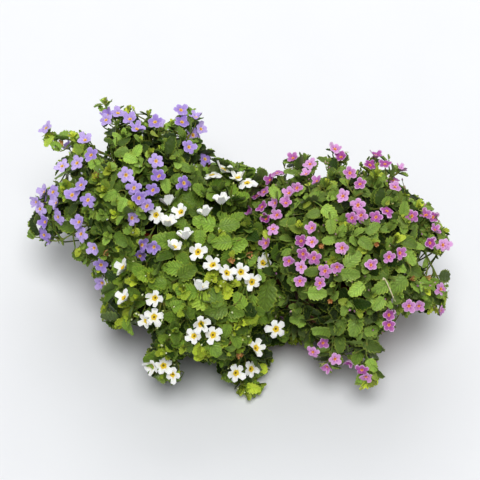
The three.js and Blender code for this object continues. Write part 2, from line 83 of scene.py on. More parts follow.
@dataclass(frozen=True)
class View:
    """Where the photograph was taken from, in millimetres and degrees."""

    azimuth: float = 17.4
    elevation: float = 55.0
    distance: float = 2400.0
    target: tuple[float, float, float] = (-18.6, -3.6, 100.0)
    mm_per_pixel: float = 1.1
    pixels: int = 480

    @property
    def back(self) -> Vector:
        """Direction from the target to the eye.

        Returns:
            The direction, of length 1.
        """
        turn, rise = math.radians(self.azimuth), math.radians(self.elevation)
        flat = math.cos(rise)
        return Vector((math.sin(turn) * flat, -math.cos(turn) * flat, math.sin(rise)))

    @property
    def right(self) -> Vector:
        """Direction to the right in the picture."""
        turn = math.radians(self.azimuth)
        return Vector((math.cos(turn), math.sin(turn), 0.0))

    @property
    def up(self) -> Vector:
        """Direction upwards in the picture."""
        return self.back.cross(self.right)

    @property
    def eye(self) -> Vector:
        """Place of the camera."""
        return Vector(self.target) + self.back * self.distance

    def sight_line(self, pixel: Sequence[float]) -> Vector:
        """Direction from the eye through a pixel of the photograph.

        Args:
            pixel: Column and row.

        Returns:
            The direction, of length 1.
        """
        middle = self.pixels / 2
        across = (pixel[0] - middle) * self.mm_per_pixel
        rise = (middle - pixel[1]) * self.mm_per_pixel
        return (-self.distance * self.back + across * self.right + rise * self.up).normalized()

    def pixel_of(self, point: Vector) -> tuple[float, float]:
        """Pixel of the photograph at which a point is seen.

        Args:
            point: The place, in millimetres.

        Returns:
            Column and row.
        """
        offset = point - self.eye
        depth = -offset.dot(self.back)
        scale = self.distance / depth / self.mm_per_pixel
        middle = self.pixels / 2
        return middle + offset.dot(self.right) * scale, middle - offset.dot(self.up) * scale


VIEW = View()

# Edge of the foliage as the photograph shows it, clockwise from the far left shoots.
FOLIAGE_EDGE = [
    (29, 201), (31, 193), (42, 184), (56, 180), (66, 176), (73, 170), (55, 169), (54, 162),
    (66, 157), (66, 151), (50, 150), (36, 137), (42, 124), (50, 123), (60, 133), (78, 130),
    (88, 135), (100, 150), (106, 153), (103, 140), (101, 116), (97, 105), (108, 96), (118, 105),
    (134, 107), (144, 112), (155, 111), (161, 121), (171, 121), (177, 107), (190, 105),
    (200, 111), (206, 124), (204, 140), (200, 148), (215, 148), (222, 155), (226, 161),
    (243, 163), (250, 167), (258, 168), (270, 169), (282, 169), (286, 155), (300, 152),
    (315, 158), (316, 170), (324, 176), (325, 160), (334, 146), (349, 157), (357, 166),
    (365, 161), (372, 150), (382, 151), (390, 160), (402, 160), (406, 170), (403, 181),
    (412, 193), (428, 203), (438, 216), (446, 224), (449, 237), (446, 250), (438, 258),
    (428, 252), (422, 262), (425, 275), (438, 280), (449, 286), (453, 298), (446, 315),
    (432, 313), (415, 311), (404, 319), (395, 332), (384, 333), (382, 348), (376, 358),
    (382, 375), (376, 386), (362, 391), (354, 381), (355, 369), (345, 366), (332, 372),
    (315, 365), (308, 352), (305, 344), (290, 346), (279, 344), (267, 340), (268, 352),
    (273, 364), (269, 375), (262, 390), (250, 401), (238, 397), (234, 382), (221, 378),
    (220, 364), (205, 361), (186, 356), (177, 360), (183, 378), (170, 385), (157, 378),
    (144, 371), (146, 350), (158, 338), (150, 334), (144, 322), (133, 325), (118, 329),
    (101, 322), (102, 310), (101, 298), (97, 283), (91, 269), (80, 262), (71, 252),
    (72, 243), (64, 240), (47, 246), (36, 240), (28, 236), (28, 222), (35, 211),
]

# Round gaps in the foliage, as (column, row, radius): on soil, rim or wall, then on the floor.
FOLIAGE_GAPS = [
    (153, 230, 8.0), (160, 237, 4.0), (340, 286.5, 5.0), (307, 280, 3.0), (256, 334, 5.0),
    (157, 265, 3.0), (207, 321, 3.0), (192, 315, 2.5), (311, 322, 4.0),
    (149, 140, 5.0), (169, 136, 2.5), (141, 155, 2.5), (116, 165, 2.5), (85, 230, 5.0),
    (74, 234, 3.5), (112, 126, 3.0), (372, 182, 2.5), (392, 232, 2.0), (166, 308, 5.0),
    (100, 146, 8.0), (105, 154, 4.0), (98, 136, 6.0), (48, 181, 5.0), (60, 178, 4.0),
    (70, 177, 4.0), (66, 239, 7.0), (76, 244, 5.0), (80, 225, 4.0), (133, 114, 3.0),
    (142, 117, 4.0), (128, 121, 2.5), (158, 120, 5.0), (166, 119, 4.0), (75, 129, 4.0),
    (320, 173, 6.0), (290, 173, 4.0), (350, 166, 5.0), (410, 189, 5.0), (426, 262, 10.0),
    (400, 318, 4.0), (385, 339, 5.0), (272, 350, 4.0), (346, 360, 4.0), (76, 158, 3.0),
    (168, 147, 2.5), (132, 137, 2.5), (120, 146, 2.0), (418, 240, 2.5), (384, 191, 2.5),
]

# Columns and rows that the foliage lies between.
FOLIAGE_COLUMNS, FOLIAGE_ROWS = (25, 455), (90, 405)

# Where the white plant's bright leaves lie on top.
BRIGHT_ZONE = [
    (98, 290), (125, 262), (150, 258), (172, 240), (190, 222), (215, 212), (240, 214),
    (262, 222), (276, 240), (284, 262), (290, 282), (316, 292), (328, 308), (330, 330),
    (318, 350), (300, 352), (278, 380), (252, 404), (232, 396), (215, 370), (180, 392),
    (140, 388), (140, 340), (100, 330),
]


def inside(outline: list[Pixel], pixel: Sequence[float], margin: float = 0.0) -> bool:
    """Whether a pixel lies inside an outline, or within a margin outside it.

    Args:
        outline: Corners of the outline.
        pixel: Column and row in the photograph.
        margin: Pixels that the pixel may lie outside.

    Returns:
        True inside.
    """
    x, y = pixel
    within = False
    nearest = 1e9
    for (x1, y1), (x2, y2) in zip(outline, outline[1:] + outline[:1]):
        if (y1 > y) != (y2 > y) and x < x1 + (y - y1) / (y2 - y1) * (x2 - x1):
            within = not within
        length = (x2 - x1) ** 2 + (y2 - y1) ** 2
        share = max(0.0, min(1.0, ((x - x1) * (x2 - x1) + (y - y1) * (y2 - y1)) / length))
        gap = math.hypot(x1 + share * (x2 - x1) - x, y1 + share * (y2 - y1) - y)
        nearest = min(nearest, gap)
    return within or nearest < margin


def in_gap(pixel: Sequence[float]) -> bool:
    """Whether a pixel lies in one of the gaps that open on the box."""
    return any(math.hypot(pixel[0] - x, pixel[1] - y) < r for x, y, r in FOLIAGE_GAPS)


# ---------------------------------------------------------------- where the stems run


@dataclass(frozen=True)
class Crown:
    """A plant's mound of foliage: an ellipsoid, in millimetres."""

    centre: tuple[float, float, float]
    radii: tuple[float, float, float]

    def scaled(self, vector: Vector) -> Vector:
        """A vector in units of the crown's radii."""
        return Vector([value / radius for value, radius in zip(vector, self.radii)])

    def level(self, point: Vector) -> float:
        """0 in the middle of the crown, 1 on its surface."""
        return self.scaled(point - Vector(self.centre)).length

    def outward(self, point: Vector) -> Vector:
        """Direction out of the crown at a point."""
        return self.scaled(self.scaled(point - Vector(self.centre))).normalized()

    def seen(self, pixel: Sequence[float], depth: float, lowest: float) -> Vector:
        """Place where a sight line meets the crown, or comes nearest to it.

        Args:
            pixel: Column and row in the photograph.
            depth: How far beyond the surface, along the sight line.
            lowest: The place is at least this high.

        Returns:
            The place, in millimetres.
        """
        direction = VIEW.sight_line(pixel)
        start = self.scaled(VIEW.eye - Vector(self.centre))
        step = self.scaled(direction)
        a, b = step.dot(step), start.dot(step)
        root = math.sqrt(max(b * b - a * (start.dot(start) - 1), 0.0))
        point = VIEW.eye + direction * ((-b - root) / a + depth)
        point.z = max(point.z, lowest)
        return point

    def hidden(self, bearing: float, rise: float) -> Vector:
        """Place on the surface by compass bearing and rise.

        Args:
            bearing: 0 for +X, 90 for the back, in degrees.
            rise: Angle above the level, in degrees.

        Returns:
            The place, in millimetres.
        """
        turn, lift = math.radians(bearing), math.radians(rise)
        flat = math.cos(lift)
        unit = Vector((math.cos(turn) * flat, math.sin(turn) * flat, math.sin(lift)))
        return Vector(self.centre) + Vector([u * r for u, r in zip(unit, self.radii)])

    def shell(self, spacing: float, depth: float) -> Iterator[Vector]:
        """Places spread evenly over the surface, on a spiral from top to bottom.

        Args:
            spacing: Distance between neighbours.
            depth: How deep under the surface the places lie.

        Yields:
            The places, in millimetres.
        """
        radii = [radius - depth for radius in self.radii]
        mean = sum(radii) / 3
        count = int(4 * math.pi * mean * mean / (spacing * spacing))
        golden = math.pi * (3 - math.sqrt(5))
        for index in range(count):
            height = 1 - 2 * (index + 0.5) / count
            ring = math.sqrt(1 - height * height)
            unit = (ring * math.cos(golden * index), ring * math.sin(golden * index), height)
            yield Vector([c + u * r for c, u, r in zip(self.centre, unit, radii)])


@dataclass(frozen=True)
class StemRule:
    """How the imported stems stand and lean, in millimetres.

    Attributes:
        rim_clearance: A stem that hangs over the rim passes this far above it.
        over_rim: Share of its fall that is added to that.
        foot_reach: How far the feet spread from the root, across and in depth.
        foot_limit: The feet stay this close to the box's middle, in depth.
        keep_out: Half the length and width of the space that belongs to the box.
    """

    soil_crown: float = 131.0
    box_height: float = 140.0
    neck_rise: float = 4.0
    rim_clearance: float = 14.0
    over_rim: float = 0.1
    shoulder_rise: float = 6.0
    step_length: float = 31.0
    samples: int = 400
    lowest_tip: float = 10.2
    tip_depth: float = 5.0
    foot_spacing: float = 8.0
    foot_reach: tuple[float, float] = (0.95, 0.8)
    foot_limit: float = 38.0
    radius: float = 1.35
    keep_out: tuple[float, float] = (163.0, 60.0)

    def in_box(self, point: Vector, height: float) -> bool:
        """Whether a point lies over the box's plan, and below a height."""
        across, deep = self.keep_out
        return abs(point.x) < across and abs(point.y) < deep and point.z < height


RULE = StemRule()


class StemLine:
    """A stem's line: straight out of its hole, over the rim where it has to, on to its tip."""

    def __init__(self, foot: tuple[float, float], tip: Vector, sway: Vector) -> None:
        """Lays the line.

        Args:
            foot: Where the stem leaves the soil, as (x, y).
            tip: Where it ends.
            sway: How far its shoulder leans aside.
        """
        self.neck = Vector((*foot, RULE.soil_crown + RULE.neck_rise))
        self.tip = tip
        self.shoulder = self.neck.lerp(tip, 0.5) + sway
        rim_top = RULE.box_height + RULE.rim_clearance
        drop = max(0.0, rim_top - tip.z)
        lowest = rim_top + RULE.over_rim * drop if drop > 0 else 0.0
        self.shoulder.z = max(self.shoulder.z + RULE.shoulder_rise, lowest)
        fine = [self._spline(i / RULE.samples) for i in range(RULE.samples + 1)]
        lengths = [0.0]
        for a, b in zip(fine, fine[1:]):
            lengths.append(lengths[-1] + (b - a).length)
        open_length = lengths[-1]
        self.steps = 1 + max(2, int(open_length / RULE.step_length + 0.5))
        step = open_length / (self.steps - 1)
        start = self.neck - UP * step
        at = np.linspace(0.0, open_length, self.steps)
        columns = [np.interp(at, lengths, [p[axis] for p in fine]) for axis in range(3)]
        self.points = [start] + [Vector(p) for p in zip(*columns)]
        self.length = sum((b - a).length for a, b in zip(self.points, self.points[1:]))

    def _spline(self, t: float) -> Vector:
        """Point of the centripetal spline through neck, shoulder and tip.

        Args:
            t: 0 at the neck to 1 at the tip.

        Returns:
            The point.
        """
        p0, p1, p2 = self.neck, self.shoulder, self.tip
        if t < 0.5:
            row = (2 * p0 - p1, p0, p1, p2)
            weight = t * 2
        else:
            row = (p0, p1, p2, 2 * p2 - p1)
            weight = t * 2 - 1
        gaps = [max((b - a).length ** 0.5, 1e-4) for a, b in zip(row, row[1:])]
        point = Vector()
        for axis in range(3):
            x0, x1, x2, x3 = (p[axis] for p in row)
            slope1 = (x1 - x0) / gaps[0] - (x2 - x0) / (gaps[0] + gaps[1]) + (x2 - x1) / gaps[1]
            slope2 = (x2 - x1) / gaps[1] - (x3 - x1) / (gaps[1] + gaps[2]) + (x3 - x2) / gaps[2]
            slope1 *= gaps[1]
            slope2 *= gaps[1]
            c2 = -3 * x1 + 3 * x2 - 2 * slope1 - slope2
            c3 = 2 * x1 - 2 * x2 + slope1 + slope2
            point[axis] = x1 + slope1 * weight + c2 * weight**2 + c3 * weight**3
        return point

    def at(self, t: float) -> tuple[Vector, Vector]:
        """Point and direction on the line.

        Args:
            t: 0 at the foot to 1 at the tip.

        Returns:
            The point, and the direction there.
        """
        place = min(t, 0.9999) * self.steps
        index = int(place)
        a, b = self.points[index], self.points[index + 1]
        return a.lerp(b, place - index), (b - a).normalized()

    def misfit(self, vertices: np.ndarray) -> float:
        """Mean distance from the line's own points to the nearest vertices of a packed stem.

        Args:
            vertices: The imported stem's vertices.

        Returns:
            The distance, in millimetres.
        """
        total = 0.0
        for point in self.points[1:]:
            total += float(np.sqrt(((vertices - np.array(point)) ** 2).sum(axis=1)).min())
        return total / (len(self.points) - 1)


@dataclass
class PackedStem:
    """A packed stem read back: its vertices, and what grows from it."""

    name: str
    vertices: np.ndarray
    faces: np.ndarray
    valence: np.ndarray
    normals: np.ndarray

    @classmethod
    def read(cls, name: str) -> "PackedStem":
        """Reads a stem's node, with its loose triangles joined at equal places.

        Args:
            name: The node's name.

        Returns:
            The stem, in millimetres.
        """
        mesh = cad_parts[name].data
        corners = np.zeros(len(mesh.vertices) * 3)
        mesh.vertices.foreach_get("co", corners)
        corners = corners.reshape(-1, 3) / MM
        triangles = np.zeros(len(mesh.loops), dtype=int)
        mesh.loops.foreach_get("vertex_index", triangles)
        _, first, where = np.unique(
            np.round(corners, 3), axis=0, return_index=True, return_inverse=True
        )
        vertices = corners[first]
        faces = where.reshape(-1)[triangles].reshape(-1, 3)
        valence = np.bincount(faces.reshape(-1), minlength=len(vertices))
        a, b, c = (vertices[faces[:, i]] for i in range(3))
        flat = np.cross(b - a, c - a)
        normals = np.zeros_like(vertices)
        for i in range(3):
            np.add.at(normals, faces[:, i], flat)
        normals /= np.maximum(np.linalg.norm(normals, axis=1, keepdims=True), 1e-9)
        return cls(name, vertices, faces, valence, normals)

    def neighbours(self, index: int) -> np.ndarray:
        """Indices of the vertices that share a face with one."""
        near = self.faces[(self.faces == index).any(axis=1)]
        return np.setdiff1d(near.reshape(-1), [index])

    def blooms(self, radius: float) -> list[tuple[Vector, Vector]]:
        """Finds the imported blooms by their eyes, where all lobes' faces meet.

        Args:
            radius: The blooms' radius.

        Returns:
            Centre and facing of each bloom.
        """
        found = []
        for index in np.flatnonzero(self.valence >= 12):
            ring = self.vertices[self.neighbours(index)] - self.vertices[index]
            reach = np.linalg.norm(ring, axis=1) / radius
            shoulders = ((reach > 0.9) & (reach < 1.12)).sum()
            notches = ((reach > 0.36) & (reach < 0.52)).sum()
            if shoulders < 6 or notches < 3:
                continue
            facing = Vector(self.normals[index])
            found.append((Vector(self.vertices[index]) + facing * (0.05 * radius), facing))
        return found

    def leaves(self, plant: "Plant", line: StemLine) -> list[tuple[Vector, Vector, Vector, float]]:
        """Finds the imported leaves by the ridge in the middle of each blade.

        Args:
            plant: The plant that the stem belongs to.
            line: The stem's line.

        Returns:
            Root, direction, facing and blade length of each leaf.
        """
        found = []
        eyes = [centre for centre, _ in self.blooms(plant.bloom_radius)]
        for index in np.flatnonzero((self.valence >= 9) & (self.valence <= 14)):
            top, facing = Vector(self.vertices[index]), Vector(self.normals[index])
            if any((top - eye).length < 2 for eye in eyes):
                continue
            best = None
            for pair in range(3):
                root, _ = line.at(1 - (1.5 + pair * plant.pair_spacing) / line.length)
                length = ((top - root).length - plant.leaf_stalk) / 0.45 / plant.leaf_length
                if 0.68 < length < 1.2 and (best is None or length < best[1]):
                    best = (root, length)
            if best is None or facing.dot(plant.crown.outward(best[0])) < 0.1:
                continue
            if any((top - other[4]).length < 3 for other in found):
                continue
            along = (top - best[0]).normalized()
            found.append((best[0], along, facing, best[1] * plant.leaf_length, top))
        return [leaf[:4] for leaf in found]


@dataclass(frozen=True)
class Plant:
    """One of the three bacopas, in millimetres and pixels of the photograph.

    Attributes:
        root: Where the plant's stems rise from the soil, as (x, y).
        pair_spacing: Distance between two pairs of leaves.
        tips_seen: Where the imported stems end.
        tips_hidden: Bearing and rise of the stems that end out of sight.
        spent_seen: The brown, withered blooms.
        cupped_seen: The half-closed blooms.
        dried_seen: Both ends of the dried stems.
        more_seen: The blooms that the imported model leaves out.
        rosettes_seen: The tufts of young leaves.
        leaves_seen: Column, row, length in pixels, turn in degrees and age of single leaves.
        tip_leaf: Size of the leaves next to a stem's tip, as a share of a full leaf.
        tip_age: Age of the youngest leaves.
    """

    name: str
    root: tuple[float, float]
    crown: Crown
    leaf_length: float
    leaf_width: float
    pair_spacing: float
    bloom_radius: float
    seed: int
    tips_seen: list[Pixel]
    tips_hidden: list[tuple[float, float]]
    spent_seen: list[Pixel]
    cupped_seen: list[Pixel]
    dried_seen: list[tuple[Pixel, Pixel]]
    more_seen: list[Pixel]
    rosettes_seen: list[Pixel]
    leaves_seen: list[tuple[float, float, float, float, float]]
    tip_leaf: float
    tip_age: float
    leaf_stalk: float = 5.0

    def cups(self, pixel: Sequence[float]) -> bool:
        """Whether the photograph shows a half-closed bloom at a pixel."""
        return any(math.hypot(pixel[0] - x, pixel[1] - y) < 7 for x, y in self.cupped_seen)

    def stems(self, taken: list[tuple[float, float]]) -> list[tuple[PackedStem, StemLine]]:
        """Reads the plant's packed stems and lays each one's line through it.

        Args:
            taken: Places in the soil where stems already stand, added to.

        Returns:
            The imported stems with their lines, the upright ones first.
        """
        tips = [
            self.crown.seen(pixel, RULE.tip_depth, RULE.lowest_tip) for pixel in self.tips_seen
        ]
        tips += [self.crown.hidden(*bearing) for bearing in self.tips_hidden]
        tips.sort(key=lambda tip: math.hypot(tip.x - self.root[0], tip.y - self.root[1]))
        found = []
        for number, tip in enumerate(tips, 1):
            foot = self._foot(tip, taken)
            taken.append(foot)
            packed = PackedStem.read(f"{self.name}_stem_{number:02d}")
            lines = [StemLine(foot, tip, sway) for sway in self._sways()]
            line = min(lines, key=lambda candidate: candidate.misfit(packed.vertices))
            found.append((packed, line))
        return found

    def _foot(self, tip: Vector, taken: list[tuple[float, float]]) -> tuple[float, float]:
        """Where a stem leaves the soil: towards its tip, clear of the others.

        Args:
            tip: Where the stem ends.
            taken: Places where stems already stand.

        Returns:
            The place, as (x, y).
        """
        bearing = math.atan2(tip.y - self.root[1], tip.x - self.root[0])
        for ring in range(10, 60, 2):
            for turn in (0, 0.35, -0.35, 0.7, -0.7, 1.05, -1.05):
                x = self.root[0] + RULE.foot_reach[0] * ring * math.cos(bearing + turn)
                y = self.root[1] + RULE.foot_reach[1] * ring * math.sin(bearing + turn)
                y = max(-RULE.foot_limit, min(RULE.foot_limit, y))
                if all(math.hypot(x - a, y - b) > RULE.foot_spacing for a, b in taken):
                    return x, y
        raise ValueError("no room for a stem")

    @staticmethod
    def _sways() -> Iterator[Vector]:
        """Every way in which a stem's shoulder may lean aside.

        Yields:
            How far the shoulder moves, in millimetres.
        """
        yield Vector()
        for reach in (6, 12, 18, 25):
            for turn in range(8):
                angle = math.radians(45 * turn)
                lift = 0.8 if turn % 2 else 0.2
                yield Vector((math.cos(angle), math.sin(angle), lift)) * reach


LAVENDER = Plant(
    name="lavender",
    root=(-104, 2),
    crown=Crown((-150, 2, 122), (92, 92, 86)),
    leaf_length=19,
    leaf_width=16,
    pair_spacing=25,
    bloom_radius=8.6,
    seed=41,
    tips_seen=[
        (48, 132), (104, 103), (148, 115), (190, 112), (87, 158), (138, 165), (180, 165),
        (43, 207), (92, 208), (136, 212), (62, 240), (102, 268), (146, 244),
    ],
    tips_hidden=[(95, 4), (165, -8)],
    spent_seen=[(136, 285), (107, 251), (62, 145), (96, 176)],
    cupped_seen=[],
    dried_seen=[],
    more_seen=[(53, 192), (134, 188), (36, 202), (201, 129), (140, 256), (106, 120)],
    rosettes_seen=[
        (105, 102), (129, 111), (137, 122), (148, 114), (192, 113), (159, 128), (43, 130),
        (50, 139), (74, 137), (72, 152), (96, 178), (109, 170), (36, 198), (64, 190),
        (104, 190), (133, 206), (151, 153), (134, 232), (78, 248), (100, 267), (115, 214),
    ],
    leaves_seen=[
        (121, 152, 14, 200, 0.5), (131, 159, 14, 340, 0.45), (113, 163, 13, 230, 0.6),
        (138, 150, 12, 60, 0.5), (62, 185, 13, 120, 0.55), (95, 164, 12, 20, 0.5),
        (100, 172, 13, 300, 0.4), (160, 170, 14, 20, 0.6), (186, 168, 13, 330, 0.5),
        (110, 196, 14, 210, 0.45), (166, 186, 14, 280, 0.6), (122, 205, 14, 250, 0.6),
        (88, 196, 13, 170, 0.5), (176, 178, 12, 40, 0.65),
    ],
    tip_leaf=0.66,
    tip_age=0.14,
)
WHITE = Plant(
    name="white",
    root=(0, -6),
    crown=Crown((-48, -46, 66), (98, 130, 124)),
    leaf_length=24,
    leaf_width=21,
    pair_spacing=24,
    bloom_radius=10,
    seed=53,
    tips_seen=[
        (122, 282), (126, 318), (162, 300), (165, 258), (205, 238), (216, 190), (178, 208),
        (250, 232), (205, 282), (246, 280), (284, 305), (205, 328), (250, 338), (162, 372),
        (246, 391),
    ],
    tips_hidden=[(80, 50)],
    spent_seen=[(229, 260), (247, 254), (226, 340), (238, 353), (286, 262)],
    cupped_seen=[
        (168, 202), (221, 201), (205, 213), (185, 236), (174, 247), (167, 222), (202, 284),
    ],
    dried_seen=[((294, 309), (305, 326)), ((308, 325), (325, 310))],
    more_seen=[(146, 321)],
    rosettes_seen=[
        (212, 276), (219, 285), (248, 317), (240, 321), (205, 351), (196, 358), (245, 388),
        (256, 388), (298, 336), (309, 332), (267, 357), (290, 341), (230, 283), (183, 290),
        (151, 278), (135, 281), (126, 305), (250, 168), (236, 165), (222, 187), (165, 351),
        (239, 388), (247, 396), (256, 392), (110, 312), (122, 324), (160, 372),
    ],
    leaves_seen=[
        (173, 268, 19, 175, 0.45), (188, 272, 19, 30, 0.3), (197, 299, 24, 155, 0.24),
        (215, 311, 22, 195, 0.3), (216, 297, 19, 100, 0.6), (238, 245, 20, 20, 0.4),
        (221, 243, 19, 190, 0.3), (203, 223, 22, 170, 0.4), (230, 225, 19, 5, 0.5),
        (200, 238, 15, 265, 0.45), (239, 300, 17, 125, 0.3), (248, 293, 17, 60, 0.7),
        (266, 299, 26, 255, 0.3), (288, 289, 22, 10, 0.35), (227, 260, 17, 250, 0.75),
        (250, 261, 15, 30, 0.5), (236, 312, 17, 350, 0.5), (226, 332, 15, 250, 0.45),
        (157, 284, 17, 185, 0.55), (292, 298, 15, 340, 0.45), (181, 252, 14, 200, 0.2),
        (270, 284, 13, 40, 0.3), (178, 221, 15, 150, 0.5), (246, 188, 13, 20, 0.6),
        (204, 347, 13, 110, 0.1), (199, 355, 13, 230, 0.1), (208, 356, 12, 320, 0.15),
        (243, 389, 15, 228, 0.1), (254, 388, 15, 350, 0.12), (247, 383, 12, 100, 0.3),
        (242, 398, 12, 240, 0.05), (263, 368, 13, 300, 0.1), (161, 353, 13, 250, 0.9),
        (170, 352, 13, 300, 0.95), (209, 280, 13, 250, 0.08), (214, 273, 12, 30, 0.08),
    ],
    tip_leaf=0.85,
    tip_age=0.04,
)
PINK = Plant(
    name="pink",
    root=(104, 2),
    crown=Crown((100, 4, 118), (110, 100, 90)),
    leaf_length=20,
    leaf_width=17,
    pair_spacing=25,
    bloom_radius=7.4,
    seed=67,
    tips_seen=[
        (294, 158), (337, 151), (398, 172), (268, 190), (310, 200), (355, 196), (438, 230),
        (270, 240), (312, 248), (355, 250), (398, 254), (446, 296), (400, 308), (350, 302),
        (330, 366), (366, 382),
    ],
    tips_hidden=[(85, 2), (30, -6)],
    spent_seen=[(330, 300), (411, 279), (362, 348), (375, 244), (321, 246), (427, 277)],
    cupped_seen=[],
    dried_seen=[((383, 280), (396, 303))],
    more_seen=[
        (250, 212), (262, 207), (275, 203), (301, 267), (323, 343), (419, 306), (442, 311),
        (349, 362), (317, 181), (257, 196), (433, 217),
    ],
    rosettes_seen=[
        (327, 183), (306, 180), (371, 166), (377, 173), (405, 193), (419, 207), (396, 238),
        (409, 220), (427, 204), (443, 232), (436, 252), (425, 292), (448, 298), (434, 308),
        (359, 309), (348, 226), (301, 227), (325, 268), (334, 260), (366, 384), (376, 379),
    ],
    leaves_seen=[
        (330, 213, 17, 320, 0.3), (331, 227, 14, 275, 0.3), (313, 214, 13, 200, 0.55),
        (353, 259, 19, 40, 0.45), (351, 274, 18, 0, 0.5), (356, 290, 17, 215, 0.3),
        (355, 327, 20, 255, 0.6), (340, 328, 16, 250, 0.65), (340, 345, 16, 270, 0.7),
        (373, 346, 18, 340, 0.7), (372, 331, 14, 15, 0.6), (357, 358, 17, 245, 0.7),
        (372, 366, 14, 300, 0.45), (397, 286, 22, 220, 0.65), (415, 271, 18, 325, 0.55),
        (381, 288, 18, 205, 0.6), (378, 304, 15, 230, 0.55), (427, 284, 14, 330, 0.4),
        (318, 293, 18, 0, 0.45), (409, 243, 16, 330, 0.5), (411, 257, 17, 300, 0.45),
        (405, 219, 17, 70, 0.25), (311, 272, 13, 190, 0.7), (286, 223, 13, 185, 0.6),
        (366, 244, 15, 320, 0.6), (298, 249, 13, 260, 0.75), (373, 228, 15, 30, 0.65),
        (343, 172, 13, 240, 0.5), (300, 190, 13, 30, 0.5), (385, 228, 14, 340, 0.55),
    ],
    tip_leaf=0.66,
    tip_age=0.16,
)
PLANTS = (LAVENDER, WHITE, PINK)


# ---------------------------------------------------------------- modelling by hand


class Tissue(Enum):
    """What a face of a plant is made of. The value is its material's place in the slots."""

    LEAF = 0
    PETAL = 1
    STEM = 2
    BUD = 3
    WITHERED = 4
    DRIED = 5


def pick(*objects: Object) -> None:
    """Selects these objects alone, and makes the first of them the active one.

    Args:
        *objects: The objects.
    """
    bpy.ops.object.select_all(action="DESELECT")
    for obj in objects:
        obj.select_set(True)
    bpy.context.view_layer.objects.active = objects[0]


def put(name: str, data: ID) -> Object:
    """Puts a mesh, curve, lamp or camera into the scene.

    Args:
        name: The object's name.
        data: What it shows.

    Returns:
        The object.
    """
    obj = bpy.data.objects.new(name, data)
    bpy.context.scene.collection.objects.link(obj)
    return obj


def apply_modifier(obj: Object, kind: str, **settings: object) -> None:
    """Adds a modifier to an object and applies it.

    Args:
        obj: The object.
        kind: The modifier's type.
        **settings: Its properties.
    """
    pick(obj)
    modifier = obj.modifiers.new(kind.lower(), kind)
    for name, value in settings.items():
        setattr(modifier, name, value)
    bpy.ops.object.modifier_apply(modifier=modifier.name)


@contextmanager
def editing(obj: Object) -> Iterator[None]:
    """Edits one object's mesh, with everything in it selected.

    Args:
        obj: The object.

    Yields:
        Nothing, in edit mode.
    """
    pick(obj)
    bpy.ops.object.mode_set(mode="EDIT")
    bpy.ops.mesh.select_mode(type="VERT")
    bpy.ops.mesh.select_all(action="SELECT")
    yield
    bpy.ops.object.mode_set(mode="OBJECT")


def select_faces(obj: Object, test: Callable[[Vector, Vector], bool]) -> None:
    """In edit mode, selects only the faces whose centre and normal pass a test.

    Args:
        obj: The object.
        test: Function of a face's centre and normal.
    """
    bpy.ops.mesh.select_all(action="DESELECT")
    bpy.ops.mesh.select_mode(type="FACE")
    bpy.ops.object.mode_set(mode="OBJECT")
    for polygon in obj.data.polygons:
        polygon.select = test(polygon.center, polygon.normal)
    bpy.ops.object.mode_set(mode="EDIT")


def select_edges(obj: Object, test: Callable[[Vector, Vector], bool]) -> None:
    """In edit mode, selects only the edges whose two ends pass a test.

    Args:
        obj: The object.
        test: Function of the places of an edge's two ends.
    """
    bpy.ops.mesh.select_all(action="DESELECT")
    bpy.ops.mesh.select_mode(type="EDGE")
    bpy.ops.object.mode_set(mode="OBJECT")
    places = obj.data.vertices
    for edge in obj.data.edges:
        edge.select = test(*(places[i].co for i in edge.vertices))
    bpy.ops.object.mode_set(mode="EDIT")


def reshape(obj: Object, move: Callable[[Vector], Sequence[float]]) -> None:
    """Moves every point of a mesh to where a function of its place says."""
    for vertex in obj.data.vertices:
        vertex.co = move(vertex.co.copy())


def join(objects: Sequence[Object]) -> Object:
    """Joins objects into the first of them.

    Args:
        objects: The objects.

    Returns:
        The first, with all the others in it.
    """
    pick(*objects)
    bpy.ops.object.join()
    return objects[0]


def extrude_up(rise: float) -> None:
    """In edit mode, extrudes the selected faces upwards, or down where the rise is negative."""
    bpy.ops.mesh.extrude_region_move(TRANSFORM_OT_translate={"value": (0, 0, rise * MM)})


def fresh(name: str) -> Object:
    """The primitive that was just added, renamed.

    Args:
        name: Its new name.

    Returns:
        The primitive's object.
    """
    obj = bpy.context.active_object
    obj.name = name
    obj.data.name = name
    return obj


def give_tissues(obj: Object, tissue_of: Callable[[Vector], Tissue]) -> None:
    """Gives a shape one slot for each tissue, and every face its own by its centre.

    Args:
        obj: The shape.
        tissue_of: Function of a face's centre.
    """
    for tissue in Tissue:
        name = f"tissue_{tissue.name.lower()}"
        material = bpy.data.materials.get(name) or bpy.data.materials.new(name)
        obj.data.materials.append(material)
    for polygon in obj.data.polygons:
        polygon.material_index = tissue_of(polygon.center).value


def smooth(obj: Object, degrees: float) -> None:
    """Shades a finished piece smoothly, except across edges sharper than an angle."""
    pick(obj)
    bpy.ops.object.shade_smooth_by_angle(angle=math.radians(degrees))


def keep(obj: Object, degrees: float = 50) -> Mesh:
    """Keeps a modelled shape's mesh as the pattern for its copies.

    Args:
        obj: The modelled shape, which is removed.
        degrees: Edges sharper than this stay sharp.

    Returns:
        The mesh, with an age and a tone at each point.
    """
    smooth(obj, degrees)
    mesh = obj.data
    for name in ("age", "tone"):
        mesh.attributes.new(name, "FLOAT", "POINT")
    mesh.use_fake_user = True
    bpy.data.objects.remove(obj)
    return mesh


